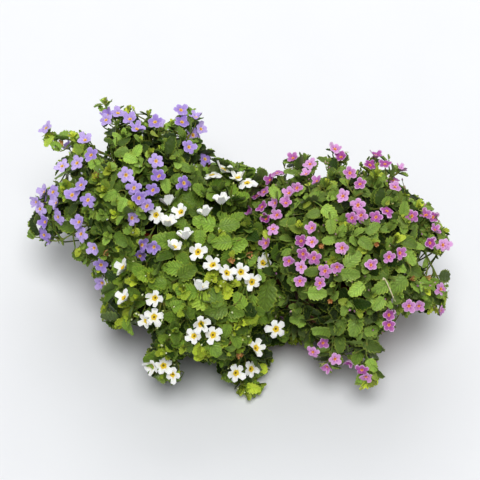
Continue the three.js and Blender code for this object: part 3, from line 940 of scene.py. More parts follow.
def posed(place: Vector, along: Vector, facing: Vector, size: Sequence[float]) -> Matrix:
    """Matrix that lays a pattern's +Y along a direction, with its +Z turned to a facing.

    Args:
        place: Where the pattern's origin goes, in millimetres.
        along: Direction of +Y.
        facing: Direction that +Z turns towards.
        size: Scale across, along and upwards, in millimetres.

    Returns:
        The matrix, in metres.
    """
    y = along.normalized()
    z = facing - y * facing.dot(y)
    z = z.normalized() if z.length > 1e-3 else y.orthogonal().normalized()
    x = y.cross(z)
    turned = Matrix((x * size[0], y * size[1], z * size[2])).transposed().to_4x4()
    turned.translation = place
    return Matrix.Scale(MM, 4) @ turned


@dataclass(frozen=True)
class LeafModel:
    """One leaf: half width 1, length 1 with its stalk, along +Y with its face up.

    Attributes:
        teeth: How deep the scallops are, as a share of the width.
        fold: Rise of the edges over the midrib.
        droop: Fall of the tip.
        twist: How far the blade turns about its midrib.
        rows: Rows of faces along the leaf.
    """

    teeth: float
    fold: float
    droop: float
    twist: float
    rows: int = 12
    stalk_rows: int = 2
    stalk_share: float = 0.2
    stalk_half_width: float = 0.085
    thickness: float = 0.035

    def model(self) -> Mesh:
        """Models the leaf from a grid and a copy turned over, joined at the edge.

        Returns:
            The pattern for the leaf's copies.
        """
        bpy.ops.mesh.primitive_grid_add(x_subdivisions=2, y_subdivisions=self.rows, size=2)
        leaf = fresh("leaf_pattern")
        give_tissues(leaf, lambda centre: Tissue.LEAF)
        with editing(leaf):
            bpy.ops.mesh.duplicate()
            bpy.ops.mesh.flip_normals()
            bpy.ops.transform.translate(value=(0, 0, -self.thickness))
        self._mark_underside(leaf)
        reshape(leaf, self._bend)
        with editing(leaf):
            bpy.ops.mesh.remove_doubles(threshold=0.0005)
            bpy.ops.mesh.normals_make_consistent(inside=False)
        return keep(leaf)

    def _mark_underside(self, leaf: Object) -> None:
        """Lays the lower faces two units higher on the map, where the leaf is paler.

        Args:
            leaf: The leaf, while it is flat.
        """
        layer = leaf.data.uv_layers.active
        for polygon in leaf.data.polygons:
            if polygon.normal.z < 0:
                for loop in polygon.loop_indices:
                    layer.data[loop].uv.y += 2

    def _half_width(self, row: int) -> float:
        """Half the width at a row of the grid, counted from the stalk's root.

        Args:
            row: The row.

        Returns:
            The half width, at most 1.
        """
        if row < self.stalk_rows:
            return self.stalk_half_width
        share = (row - self.stalk_rows) / (self.rows - self.stalk_rows)
        oval = math.sin(math.pi * min(0.14 + 0.86 * share, 1.0) ** 0.9) ** 0.5
        tooth = 1 + self.teeth * (1 if row % 2 else -1)
        return max(oval * tooth / (1 + self.teeth), 0.27)

    def _bend(self, place: Vector) -> tuple[float, float, float]:
        """Where a point of the flat grid lies on the leaf.

        Args:
            place: The point.

        Returns:
            Its new place.
        """
        row = round((place.y + 1) / 2 * self.rows)
        if row >= self.stalk_rows:
            share = (row - self.stalk_rows) / (self.rows - self.stalk_rows)
            along = self.stalk_share + (1 - self.stalk_share) * share
        else:
            along = self.stalk_share * 0.82 * row / (self.stalk_rows - 1)
        side = abs(place.x) > 0.5
        if side and self.stalk_rows < row < self.rows and row % 2:
            along += 0.018
        x = place.x * self._half_width(row)
        on_edge = side or row in (0, self.rows)
        under = 0.0 if on_edge else place.z
        rise = self.fold * 0.42 * abs(x) - self.droop * along * along
        rise += self.twist * x * along + 0.02 * math.sin(row * 2.2) * abs(place.x)
        return x, along, rise + under


@dataclass(frozen=True)
class BloomModel:
    """One bloom: radius 1, facing +Z, with its throat at the origin and a green calyx.

    Attributes:
        cup: Rise of the lobes over the throat.
        reflex: Fall of the lobes' outer edge.
        notch: How deep the notches between the lobes are, 0 to 1.
        uneven: How much the lobes differ in length and rise.
    """

    cup: float
    reflex: float
    notch: float
    uneven: float = 0.1
    lobes: int = 5
    rim_points: int = 20
    crumple: float = 0.0

    def model(self, tissue: Tissue = Tissue.PETAL) -> Mesh:
        """Models the bloom from a disc that is inset twice, with a tube behind it.

        Args:
            tissue: What its lobes are made of.

        Returns:
            The pattern for the bloom's copies.
        """
        bpy.ops.mesh.primitive_circle_add(
            vertices=self.rim_points, radius=1.0, fill_type="NGON", calc_uvs=True
        )
        bloom = fresh("bloom_pattern")
        with editing(bloom):
            bpy.ops.mesh.inset(thickness=0.36)
            bpy.ops.mesh.inset(thickness=0.38)
            bpy.ops.mesh.poke()
        self._lay_out(bloom)
        with editing(bloom):
            bpy.ops.mesh.select_mode(type="EDGE")
            bpy.ops.mesh.select_all(action="DESELECT")
            bpy.ops.mesh.select_non_manifold()
            bpy.ops.mesh.extrude_region_move(TRANSFORM_OT_translate={"value": (0, 0, -0.34)})
            bpy.ops.transform.resize(value=(0.12, 0.12, 1.0), center_override=(0, 0, -0.34))
            bpy.ops.mesh.edge_face_add()
        reshape(bloom, self._bend)
        with editing(bloom):
            bpy.ops.mesh.normals_make_consistent(inside=False)
        give_tissues(bloom, lambda centre: tissue)
        return keep(join([bloom, self._calyx()]), 60)

    def _lay_out(self, bloom: Object) -> None:
        """Lays each lobe out on the map: across in u, from throat to edge in v.

        Args:
            bloom: The disc, while it is flat.
        """
        layer = bloom.data.uv_layers.active
        turn = 2 * math.pi / self.lobes
        for polygon in bloom.data.polygons:
            middle = round(math.atan2(polygon.center.x, polygon.center.y) / turn) * turn
            for loop in polygon.loop_indices:
                place = bloom.data.vertices[bloom.data.loops[loop].vertex_index].co
                reach = math.hypot(place.x, place.y)
                off = math.atan2(place.x, place.y) - middle if reach > 1e-3 else 0.0
                off = (off + math.pi) % (2 * math.pi) - math.pi
                layer.data[loop].uv = (0.5 + off / turn, reach)

    def _bend(self, place: Vector) -> tuple[float, float, float]:
        """Where a point of the disc, or of the tube behind it, lies on the bloom.

        Args:
            place: The point.

        Returns:
            Its new place.
        """
        if place.z < -0.2:
            return place.x, place.y, place.z
        reach = math.hypot(place.x, place.y)
        if reach < 1e-3:
            return 0.0, 0.0, -0.14
        turn = 2 * math.pi / self.lobes
        angle = math.atan2(place.x, place.y)
        off = (angle + turn / 2) % turn - turn / 2
        between = abs(off) > 0.4 * turn
        phase = 2.4 * (angle - off) / turn + 40 * self.uneven
        longer = 1 + self.uneven * math.sin(phase)
        higher = 2 * self.uneven * math.cos(1.7 * phase)
        lift = 0.02
        if reach > 0.85:
            reach *= 1 - self.notch if between else longer * (1.0 - 0.46 * abs(off))
            angle += 0.0 if between else 0.28 * off
            lift = self.cup * 0.35 if between else self.cup - self.reflex + higher
        elif reach > 0.4:
            reach *= 1 - 0.62 * self.notch if between else longer * 1.06
            angle += 0.0 if between else 0.3 * off
            lift = (0.3 if between else 0.6) * self.cup + 0.03 + (not between) * higher * 0.4
        draw_in = 1 - 0.35 * self.cup * reach
        bump = self.crumple * math.sin(7.3 * place.x + 5.1 * place.y)
        lean = self.crumple * math.sin(9.1 * place.y - 4.7 * place.x)
        return (
            math.sin(angle) * reach * draw_in + lean * 0.4,
            math.cos(angle) * reach * draw_in + bump * 0.4,
            lift + bump,
        )

    @staticmethod
    def _calyx() -> Object:
        """Models the green cup of five sepals under a bloom.

        Returns:
            The cup.
        """
        bpy.ops.mesh.primitive_cone_add(
            vertices=10, radius1=0.08, radius2=0.25, depth=0.36, location=(0, 0, -0.32)
        )
        calyx = fresh("calyx_pattern")
        bpy.ops.object.transform_apply(location=True, rotation=True, scale=True)
        rim = [vertex for vertex in calyx.data.vertices if vertex.co.z > -0.3]
        for vertex in rim:
            turns = math.atan2(vertex.co.x, vertex.co.y) / (2 * math.pi / 10)
            if round(turns) % 2:
                vertex.co = (vertex.co.x * 0.62, vertex.co.y * 0.62, -0.34)
        give_tissues(calyx, lambda centre: Tissue.LEAF)
        return calyx


def model_bud() -> Mesh:
    """Models a closed bud of length 1 along +Z: a pale tip in a green cup.

    Returns:
        The pattern for the bud's copies.
    """
    bpy.ops.mesh.primitive_uv_sphere_add(segments=6, ring_count=5, radius=0.5)
    bud = fresh("bud_pattern")
    give_tissues(bud, lambda centre: Tissue.LEAF if centre.z < -0.1 else Tissue.BUD)
    with editing(bud):
        select_faces(bud, lambda centre, normal: centre.z > 0.1)
        bpy.ops.transform.resize(value=(0.7, 0.7, 1.0), center_override=(0, 0, 0.2))
        bpy.ops.mesh.select_all(action="SELECT")
        bpy.ops.transform.translate(value=(0, 0, 0.5))
    return keep(bud, 70)


class Patterns:
    """The shapes that the plants are made of, each modelled once."""

    def __init__(self) -> None:
        """Models every shape."""
        self.leaves = [
            LeafModel(teeth=0.11, fold=0.30, droop=0.10, twist=0.00).model(),
            LeafModel(teeth=0.13, fold=0.14, droop=0.22, twist=0.12).model(),
            LeafModel(teeth=0.11, fold=0.46, droop=0.02, twist=-0.10).model(),
            LeafModel(teeth=0.12, fold=-0.18, droop=0.14, twist=0.08).model(),
        ]
        self.young_leaves = [
            LeafModel(teeth=0.19, fold=0.70, droop=-0.12, twist=0.0, rows=8).model(),
            LeafModel(teeth=0.17, fold=0.45, droop=0.04, twist=0.1, rows=8).model(),
        ]
        self.blooms = {
            "lavender": self._open_blooms(0.38),
            "white": self._open_blooms(0.5),
            "pink": self._open_blooms(0.36),
        }
        self.cupped_bloom = BloomModel(cup=0.52, reflex=0.0, notch=0.2).model()
        withered = BloomModel(cup=0.9, reflex=0.0, notch=0.6, crumple=0.09)
        self.withered = withered.model(Tissue.WITHERED)
        self.bud = model_bud()

    @staticmethod
    def _open_blooms(notch: float) -> list[Mesh]:
        """Models four open blooms, from slightly cupped to slightly bent back.

        Args:
            notch: How deep the notches between the lobes are.

        Returns:
            The blooms' patterns.
        """
        return [
            BloomModel(cup, reflex, notch + deeper, uneven, crumple=crumple).model()
            for cup, reflex, deeper, uneven, crumple in (
                (0.14, 0.04, 0.0, 0.07, 0.02),
                (0.30, 0.00, -0.06, 0.12, 0.04),
                (0.04, 0.16, 0.04, 0.10, 0.05),
                (0.42, 0.05, 0.0, 0.15, 0.06),
            )
        ]


# ---------------------------------------------------------------- how the plants grow


@dataclass(frozen=True)
class Curve:
    """A bent line from a root to an end, in millimetres."""

    points: list[Vector]

    @classmethod
    def between(cls, root: Vector, heading: Vector, end: Vector, arrival: Vector) -> "Curve":
        """Bends a line that leaves along one direction and arrives along another.

        Args:
            root: Where it starts.
            heading: Direction at the start.
            end: Where it ends.
            arrival: Direction at the end.

        Returns:
            The line, with eight points.
        """
        reach = (end - root).length
        hold = root + heading * (0.35 * reach)
        pull = end - arrival * (0.35 * reach)
        points = []
        for index in range(8):
            t = index / 7
            a, b = root.lerp(hold, t), hold.lerp(pull, t)
            c = pull.lerp(end, t)
            points.append(a.lerp(b, t).lerp(b.lerp(c, t), t))
        return cls(points)

    @property
    def length(self) -> float:
        """Length of the line."""
        return sum((b - a).length for a, b in zip(self.points, self.points[1:]))

    def at(self, t: float) -> tuple[Vector, Vector]:
        """Point and direction on the line.

        Args:
            t: 0 at the root to 1 at the end.

        Returns:
            The point, and the direction there.
        """
        place = max(0.0, min(t, 0.9999)) * (len(self.points) - 1)
        index = int(place)
        a, b = self.points[index], self.points[index + 1]
        return a.lerp(b, place - index), (b - a).normalized()


def jitter(rng: random.Random, size: float) -> Vector:
    """A small vector in a chance direction."""
    return Vector([rng.uniform(-size, size) for _ in range(3)])


LOWEST_LEAF = 3.0  # nothing grows closer to the floor
FLOOR_REST = 0.4 * MM  # what would hang below this height is pressed flat on the floor


def leaf_points(root: Vector, along: Vector, across: Vector, whole: float) -> list[Vector]:
    """Five points of a leaf: its middle, both sides, tip and base.

    Args:
        root: Where its stalk leaves the stem.
        along: Direction of the stalk and blade.
        across: From the middle to a side.
        whole: Length with its stalk.

    Returns:
        The points.
    """
    middle = root + along * (0.6 * whole)
    tip, base = root + along * whole, root + along * (0.3 * whole)
    return [middle, middle + across, middle - across, tip, base]


def has_room(point: Vector, margin: float) -> bool:
    """Whether foliage may be at a point.

    Args:
        point: The place, in millimetres.
        margin: Pixels by which it may be seen outside the foliage's edge.

    Returns:
        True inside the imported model's box, above the floor, outside the window box and its
        soil, and where the photograph shows foliage.
    """
    low, high = CAD_BOX
    for axis in range(3):
        if not low[axis] / MM + 0.5 < point[axis] < high[axis] / MM - 0.5:
            return False
    if point.z < LOWEST_LEAF or RULE.in_box(point, RULE.soil_crown + 2):
        return False
    pixel = VIEW.pixel_of(point)
    return inside(FOLIAGE_EDGE, pixel, margin) and not in_gap(pixel)


@dataclass
class Sight:
    """What the photograph's camera sees: the blooms to keep clear, and what leaves cover."""

    blooms: list[Disc] = field(default_factory=list)
    leaves: list[tuple[float, float, float]] = field(default_factory=list)
    large_leaves: list[Disc] = field(default_factory=list)
    covered: np.ndarray = field(default_factory=lambda: np.zeros((VIEW.pixels, VIEW.pixels), bool))

    def add_leaf(self, root: Vector, along: Vector, facing: Vector, whole: float) -> None:
        """Notes where a packed leaf is seen, at six points of its blade.

        Args:
            root: Where its stalk leaves the stem.
            along: Direction of the stalk and blade.
            facing: Direction of its upper face.
            whole: Length with its stalk.
        """
        across = along.cross(facing).normalized() * (0.3 * whole)
        for share, side in ((0.4, 0), (0.65, 0), (0.65, 1), (0.65, -1), (0.85, 0), (1.0, 0)):
            point = root + along * (share * whole) + across * side
            self.leaves.append((*VIEW.pixel_of(point), (point - VIEW.eye).length))
        if facing.dot(VIEW.back) > 0.25:
            self.add_large_leaf(root + along * (0.62 * whole), 0.24 * whole)

    def add_large_leaf(self, middle: Vector, radius: float) -> None:
        """Keeps a disc of a large leaf clear of later ones, its radius given in pixels."""
        depth = (middle - VIEW.eye).length
        self.large_leaves.append((*VIEW.pixel_of(middle), depth, radius))

    def lifted(self, centre: Vector, radius: float, most: float = 36.0) -> Vector:
        """A bloom's place, brought towards the eye until no packed leaf hides it.

        Args:
            centre: The place.
            radius: The bloom's radius.
            most: The farthest that it may come.

        Returns:
            The new place.
        """
        column, row = VIEW.pixel_of(centre)
        depth = (centre - VIEW.eye).length
        need = 0.0
        for x, y, leaf_depth in self.leaves:
            if math.hypot(x - column, y - row) * VIEW.mm_per_pixel < radius * 1.15:
                if depth - most < leaf_depth < depth + 3:
                    need = max(need, depth - leaf_depth + 3)
        return centre + (VIEW.eye - centre).normalized() * min(need, most)

    def add_bloom(self, centre: Vector, radius: float) -> None:
        """Keeps the sight line to a bloom clear."""
        depth = (centre - VIEW.eye).length
        self.blooms.append((*VIEW.pixel_of(centre), depth, radius / VIEW.mm_per_pixel))

    def hides_bloom(self, point: Vector) -> bool:
        """Whether something at a point would hide a bloom."""
        return self._hides(point, self.blooms, margin=4)

    def hides_anything(self, point: Vector) -> bool:
        """Whether something at a point would hide a bloom or a packed leaf."""
        return self.hides_bloom(point) or self._hides(point, self.large_leaves, margin=-1)

    @staticmethod
    def _hides(point: Vector, discs: list[Disc], margin: float) -> bool:
        """Whether something at a point would hide one of these discs.

        Args:
            point: The place.
            discs: Column, row, distance from the eye and radius of each disc.
            margin: How far behind a disc the place may be and still hide it.

        Returns:
            True if it hides one.
        """
        column, row = VIEW.pixel_of(point)
        depth = (point - VIEW.eye).length
        for x, y, disc_depth, radius in discs:
            if abs(column - x) < radius and depth < disc_depth + margin:
                if math.hypot(column - x, row - y) < radius * 0.8:
                    return True
        return False

    def cover(self, point: Vector, radius: float) -> None:
        """Notes that a leaf covers the pixels round a point.

        Args:
            point: Middle of the leaf.
            radius: How far round it the leaf reaches.
        """
        column, row = (int(value) for value in VIEW.pixel_of(point))
        reach = max(1, int(radius / VIEW.mm_per_pixel))
        rows = slice(max(row - reach, 0), row + reach + 1)
        self.covered[rows, max(column - reach, 0):column + reach + 1] = True

    def bare(self, spacing: int) -> Iterator[tuple[int, int]]:
        """Pixels inside the foliage's edge that no leaf covers yet, a spacing apart.

        Args:
            spacing: Pixels between two that are looked at.

        Yields:
            Column and row.
        """
        for row in range(*FOLIAGE_ROWS, spacing):
            for column in range(*FOLIAGE_COLUMNS, spacing):
                pixel = (column, row)
                if not self.covered[row, column] and not in_gap(pixel):
                    if inside(FOLIAGE_EDGE, pixel):
                        yield pixel


@dataclass
class Spray:
    """One leafy, flowering stem with its side shoots, joined into one mesh.

    Attributes:
        parts: Pattern, pose, age and tone of each leaf, bloom and bud.
        stems: The main stem.
        threads: The thin stalks of its shoots, leaves and blooms.
        dried: Stems that have dried.
        on_top: While True, leaves may cover large leaves, but no blooms.
    """

    plant: Plant
    packed: PackedStem
    line: StemLine
    patterns: Patterns
    sight: Sight
    rng: random.Random
    parts: list[tuple[Mesh, Matrix, float, float]] = field(default_factory=list)
    dried: list[Run] = field(default_factory=list)
    stems: list[Run] = field(default_factory=list)
    threads: list[Run] = field(default_factory=list)
    on_top: bool = False

    def add(self, pattern: Mesh, pose: Matrix, age: float, tone: float) -> None:
        """Adds a copy of a pattern: its pose, its age from 0 to 1 and its tone, dark to light."""
        self.parts.append((pattern, pose, age, tone))

    def _copies(self) -> list[Object]:
        """Copies every pattern that was added, each with its own mesh.

        Returns:
            The copies.
        """
        copies = []
        for pattern, pose, age, tone in self.parts:
            mesh = pattern.copy()
            mesh.transform(pose)
            count = len(mesh.vertices)
            mesh.attributes["age"].data.foreach_set("value", [age] * count)
            mesh.attributes["tone"].data.foreach_set("value", [tone] * count)
            copies.append(put("growing_part", mesh))
        return copies

    def add_leaf(
        self, root: Vector, along: Vector, facing: Vector, blade: float, age: float, sure: bool
    ) -> bool:
        """Adds a leaf, unless there is no room for it.

        Args:
            root: Where its stalk leaves the stem.
            along: Direction of the stalk and blade.
            facing: Direction of its upper face.
            blade: Length of the blade.
            age: 0 for young to 1 for old.
            sure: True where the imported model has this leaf, which then always stays.

        Returns:
            True if the leaf was added.
        """
        whole = blade / (1 - LeafModel.stalk_share)
        half = blade * self.plant.leaf_width / self.plant.leaf_length / 2
        points = leaf_points(root, along, along.cross(facing).normalized() * half, whole)
        if not sure:
            hides = self.sight.hides_bloom if self.on_top else self.sight.hides_anything
            if any(hides(point) for point in points):
                return False
            if not all(has_room(point, 1.5) for point in points):
                return False
        self.sight.cover(points[0], 0.6 * half)
        if self.plant is WHITE and not inside(BRIGHT_ZONE, VIEW.pixel_of(points[0])):
            age = 0.22 + 0.6 * age
        young = blade < 0.5 * self.plant.leaf_length
        choice = self.patterns.young_leaves if young else self.patterns.leaves
        pose = posed(root, along, facing, (half, whole, whole))
        self.add(self.rng.choice(choice), pose, age, self.rng.random())
        return True

    def add_packed_leaf(
        self, root: Vector, along: Vector, facing: Vector, blade: float, age: float
    ) -> None:
        """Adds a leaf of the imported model, turned or shrunk until it hides no bloom.

        Args:
            root: Where its stalk leaves the stem.
            along: Direction of the stalk and blade.
            facing: Direction of its upper face.
            blade: Length of the blade.
            age: 0 for young to 1 for old.
        """
        for share in (1.0, 0.85, 0.7, 0.55):
            whole = share * blade / (1 - LeafModel.stalk_share)
            for turn in (0, 20, -20, 40, -40, 60, -60):
                turned = along.copy()
                turned.rotate(Matrix.Rotation(math.radians(turn), 3, facing))
                across = turned.cross(facing).normalized() * (0.3 * whole)
                points = leaf_points(root, turned, across, whole)
                if not any(self.sight.hides_bloom(p) or in_gap(VIEW.pixel_of(p)) for p in points):
                    self.add_leaf(root, turned, facing, blade * share, age, sure=True)
                    return
        self.add_leaf(root, along, facing, blade * 0.55, age, sure=True)

    def add_bloom(
        self, pattern: Mesh, centre: Vector, facing: Vector, radius: float, age: float
    ) -> None:
        """Adds a bloom with one lobe upwards, and the thread-like stalk that carries it.

        Args:
            pattern: The bloom's shape.
            centre: Place of its throat.
            facing: Direction that it looks in.
            radius: Its radius.
            age: 0 for fresh to 1 for fading.
        """
        for axis in range(3):
            reach = radius * math.sqrt(max(0.0, 1 - facing[axis] ** 2))
            low, high = (corner[axis] / MM for corner in CAD_BOX)
            centre[axis] = max(low + reach, min(high - reach, centre[axis]))
        upright = UP + 0.1 * VIEW.back
        upright = upright - facing * upright.dot(facing)
        pose = posed(centre, upright, facing, (radius, radius, radius))
        self.add(pattern, pose, age, self.rng.random())
        foot = centre - facing * (0.46 * radius)
        root, heading = self.nearest(foot, lowest=0.35, least=7, most=60)
        self.add_thread(root, heading, foot, facing, r0=0.75, r1=0.55)

    def add_thread(
        self, root: Vector, heading: Vector, end: Vector, arrival: Vector, r0: float, r1: float
    ) -> Curve:
        """Adds a thin bent stalk.

        Args:
            root: Where it starts.
            heading: Direction at the start.
            end: Where it ends.
            arrival: Direction at the end.
            r0: Radius at the start.
            r1: Radius at the end.

        Returns:
            The stalk's line.
        """
        line = Curve.between(root, heading, end, arrival)
        count = len(line.points) - 1
        radii = [r0 + (r1 - r0) * index / count for index in range(count + 1)]
        self.threads.append((line.points, radii))
        return line

    def nearest(
        self, end: Vector, lowest: float, least: float, most: float
    ) -> tuple[Vector, Vector]:
        """The best place on the main stem for something that grows to an end.

        Args:
            end: Where it has to reach.
            lowest: Nothing grows below this share of the stem.
            least: Shortest reach.
            most: Longest reach.

        Returns:
            The place on the stem and the stem's direction there.
        """
        best = None
        for step in range(33):
            t = lowest + (0.99 - lowest) * step / 32
            root, heading = self.line.at(t)
            reach = (end - root).length
            lean = (end - root).dot(heading) / max(reach, 1e-6)
            cost = reach * (1.5 - lean)
            if not least < reach < most or lean < -0.1:
                cost += 1000
            if best is None or cost < best[0]:
                best = (cost, root, heading)
        return best[1], best[2]

    def add_packed_growth(self) -> None:
        """Adds the stem itself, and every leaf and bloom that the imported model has."""
        points = self.line.points
        count = 3 * (len(points) - 1)
        fine = [points[0]] + [self.line.at(i / count)[0] for i in range(1, count + 1)]
        radii = [RULE.radius * (1.0 - 0.35 * i / len(fine)) for i in range(len(fine))]
        self.stems.append((fine, radii))
        for root, along, facing, blade in self.packed.leaves(self.plant, self.line):
            near_tip = (root - self.line.points[-1]).length < 0.6 * self.plant.pair_spacing
            age = self.rng.uniform(0.1, 0.4) if near_tip else self.rng.uniform(0.3, 0.8)
            blade *= self.plant.tip_leaf if near_tip else 1.0
            self.add_packed_leaf(root, along, facing, blade, age)
        for centre, facing in self.packed.blooms(self.plant.bloom_radius):
            centre = self.sight.lifted(centre, self.plant.bloom_radius)
            cupped = self.plant.cups(VIEW.pixel_of(centre))
            pattern = self.rng.choice(self.patterns.blooms[self.plant.name])
            radius = self.plant.bloom_radius * self.rng.uniform(1.04, 1.2)
            facing = (facing + jitter(self.rng, 0.32)).normalized()
            if cupped:
                pattern = self.patterns.cupped_bloom
                facing = (VIEW.up * 0.8 + VIEW.back * 0.4 + jitter(self.rng, 0.3)).normalized()
            self.add_bloom(pattern, centre, facing, radius, self.rng.random())

    def add_pairs(self, line: Curve | StemLine, start: float, gap: float, deep: float) -> None:
        """Adds pairs of leaves down a shoot, each pair turned a quarter from the last.

        Args:
            line: The shoot's line.
            start: Distance of the first pair from the shoot's tip.
            gap: Distance between the pairs.
            deep: 0 for a shoot on the surface to 1 for one deep in the plant; deeper shoots' leaves
                are painted darker, as painted shade.
        """
        plant, rng = self.plant, self.rng
        length = line.length
        spin = rng.uniform(0, math.pi)
        back, index = start, 0
        while back < length - 3:
            place, heading = line.at(1 - back / length)
            light = plant.crown.outward(place) * 0.6 + UP * 0.55
            crowd = index * (0.55 if deep < 0 else 1.0)
            share = min(1.0, 0.3 + 0.13 * crowd + 0.05 * crowd * crowd + 0.1 * max(deep, 0))
            blade = plant.leaf_length * share * rng.uniform(0.72, 1.04)
            rise = math.radians(max(8.0, 66 - 14 * crowd) + rng.uniform(-8, 8))
            side = heading.orthogonal().normalized()
            side.rotate(Matrix.Rotation(spin, 3, heading))
            # Depth adds age: leaves deep in the plant are painted old and dark, as painted shade,
            # on top of their real age by place on the shoot.
            age = plant.tip_age + 0.1 * crowd + 0.035 * crowd * crowd + 0.55 * deep
            age = min(1.0, max(0.0, age + rng.uniform(-0.05, 0.15)))
            for sign in (1, -1):
                along = side * (sign * math.cos(rise)) + heading * math.sin(rise)
                along = (along + light * 0.12 + jitter(rng, 0.1)).normalized()
                facing = heading * 0.45 + light + jitter(rng, 0.28)
                self.add_leaf(place, along, facing.normalized(), blade, age, sure=False)
            spin += math.pi / 2 + rng.uniform(-0.2, 0.2)
            back += gap * min(1.0, 0.14 + 0.2 * crowd) * rng.uniform(0.85, 1.2)
            index += 1

    def add_shoot(self, root: Vector, heading: Vector, tip: Vector, deep: float) -> None:
        """Adds a leafy side shoot, with a bud or two near its tip on some of them.

        Args:
            root: Where it leaves the main stem.
            heading: The main stem's direction there.
            tip: Where it ends.
            deep: 0 on the surface to 1 deep in the plant.
        """
        rng = self.rng
        arrival = (self.plant.crown.outward(tip) + UP * 0.5 + jitter(rng, 0.4)).normalized()
        line = self.add_thread(root, heading, tip, arrival, r0=1.0, r1=0.6)
        leaves = len(self.parts)
        self.add_pairs(line, start=0.6, gap=0.46 * self.plant.pair_spacing, deep=deep)
        if len(self.parts) == leaves:
            self.threads.pop()
            return
        for _ in range(0 if deep > 0.3 else rng.choice((0, 0, 1, 1, 2))):
            place, heading = line.at(1 - rng.uniform(2, 6) / max(line.length, 7))
            aside = (arrival + jitter(rng, 0.9)).normalized()
            end = place + aside * rng.uniform(5, 10)
            if has_room(end + aside * 4, 0) and not self.sight.hides_bloom(end):
                self.add_thread(place, heading, end, aside, r0=0.5, r1=0.4)
                long = rng.uniform(3.0, 4.6)
                pose = posed(end, aside.orthogonal(), aside, (long * 0.62, long * 0.62, long))
                self.add(self.patterns.bud, pose, 0.2, rng.random())

    def finish(self, name: str, finishes: Sequence[Material]) -> Object:
        """Joins everything that grew into one piece.

        Args:
            name: The piece's name.
            finishes: Its materials, one for each tissue.

        Returns:
            The piece.
        """
        tubes = [
            self._tubes(self.stems, 1, Tissue.STEM),
            self._tubes(self.threads, 0, Tissue.STEM),
            self._tubes(self.dried, 0, Tissue.DRIED),
        ]
        spray = join(self._copies() + [tube for tube in tubes if tube])
        spray.name = name
        spray.data.name = name
        for vertex in spray.data.vertices:
            if vertex.co.z < FLOOR_REST:
                vertex.co.z = FLOOR_REST + 0.15 * (vertex.co.z - FLOOR_REST)
        for tissue, finish in zip(Tissue, finishes):
            spray.data.materials[tissue.value] = finish
        return spray

    @staticmethod
    def _tubes(runs: list[Run], resolution: int, tissue: Tissue) -> Object | None:
        """Makes round stalks along lines: a bevelled curve, converted to a closed mesh.

        Args:
            runs: The lines.
            resolution: How round the stalks are.
            tissue: What they are made of.

        Returns:
            The stalks, or None where there are no lines.
        """
        if not runs:
            return None
        curve = bpy.data.curves.new("stalks", "CURVE")
        curve.dimensions = "3D"
        curve.bevel_depth = MM
        curve.bevel_resolution = resolution
        curve.use_fill_caps = True
        for points, radii in runs:
            spline = curve.splines.new("POLY")
            spline.points.add(len(points) - 1)
            for knot, point, radius in zip(spline.points, points, radii):
                knot.co = (*(point * MM), 1.0)
                knot.radius = radius
        pick(put("stalks", curve))
        bpy.ops.object.convert(target="MESH")
        stalks = bpy.context.active_object
        stalks.data.materials.clear()
        give_tissues(stalks, lambda centre: tissue)
        smooth(stalks, 60)
        return stalks


@dataclass(frozen=True)
class Foothold:
    """The place on a spray's stem, and the stem's direction there, that something grows from."""

    spray: Spray
    root: Vector
    heading: Vector


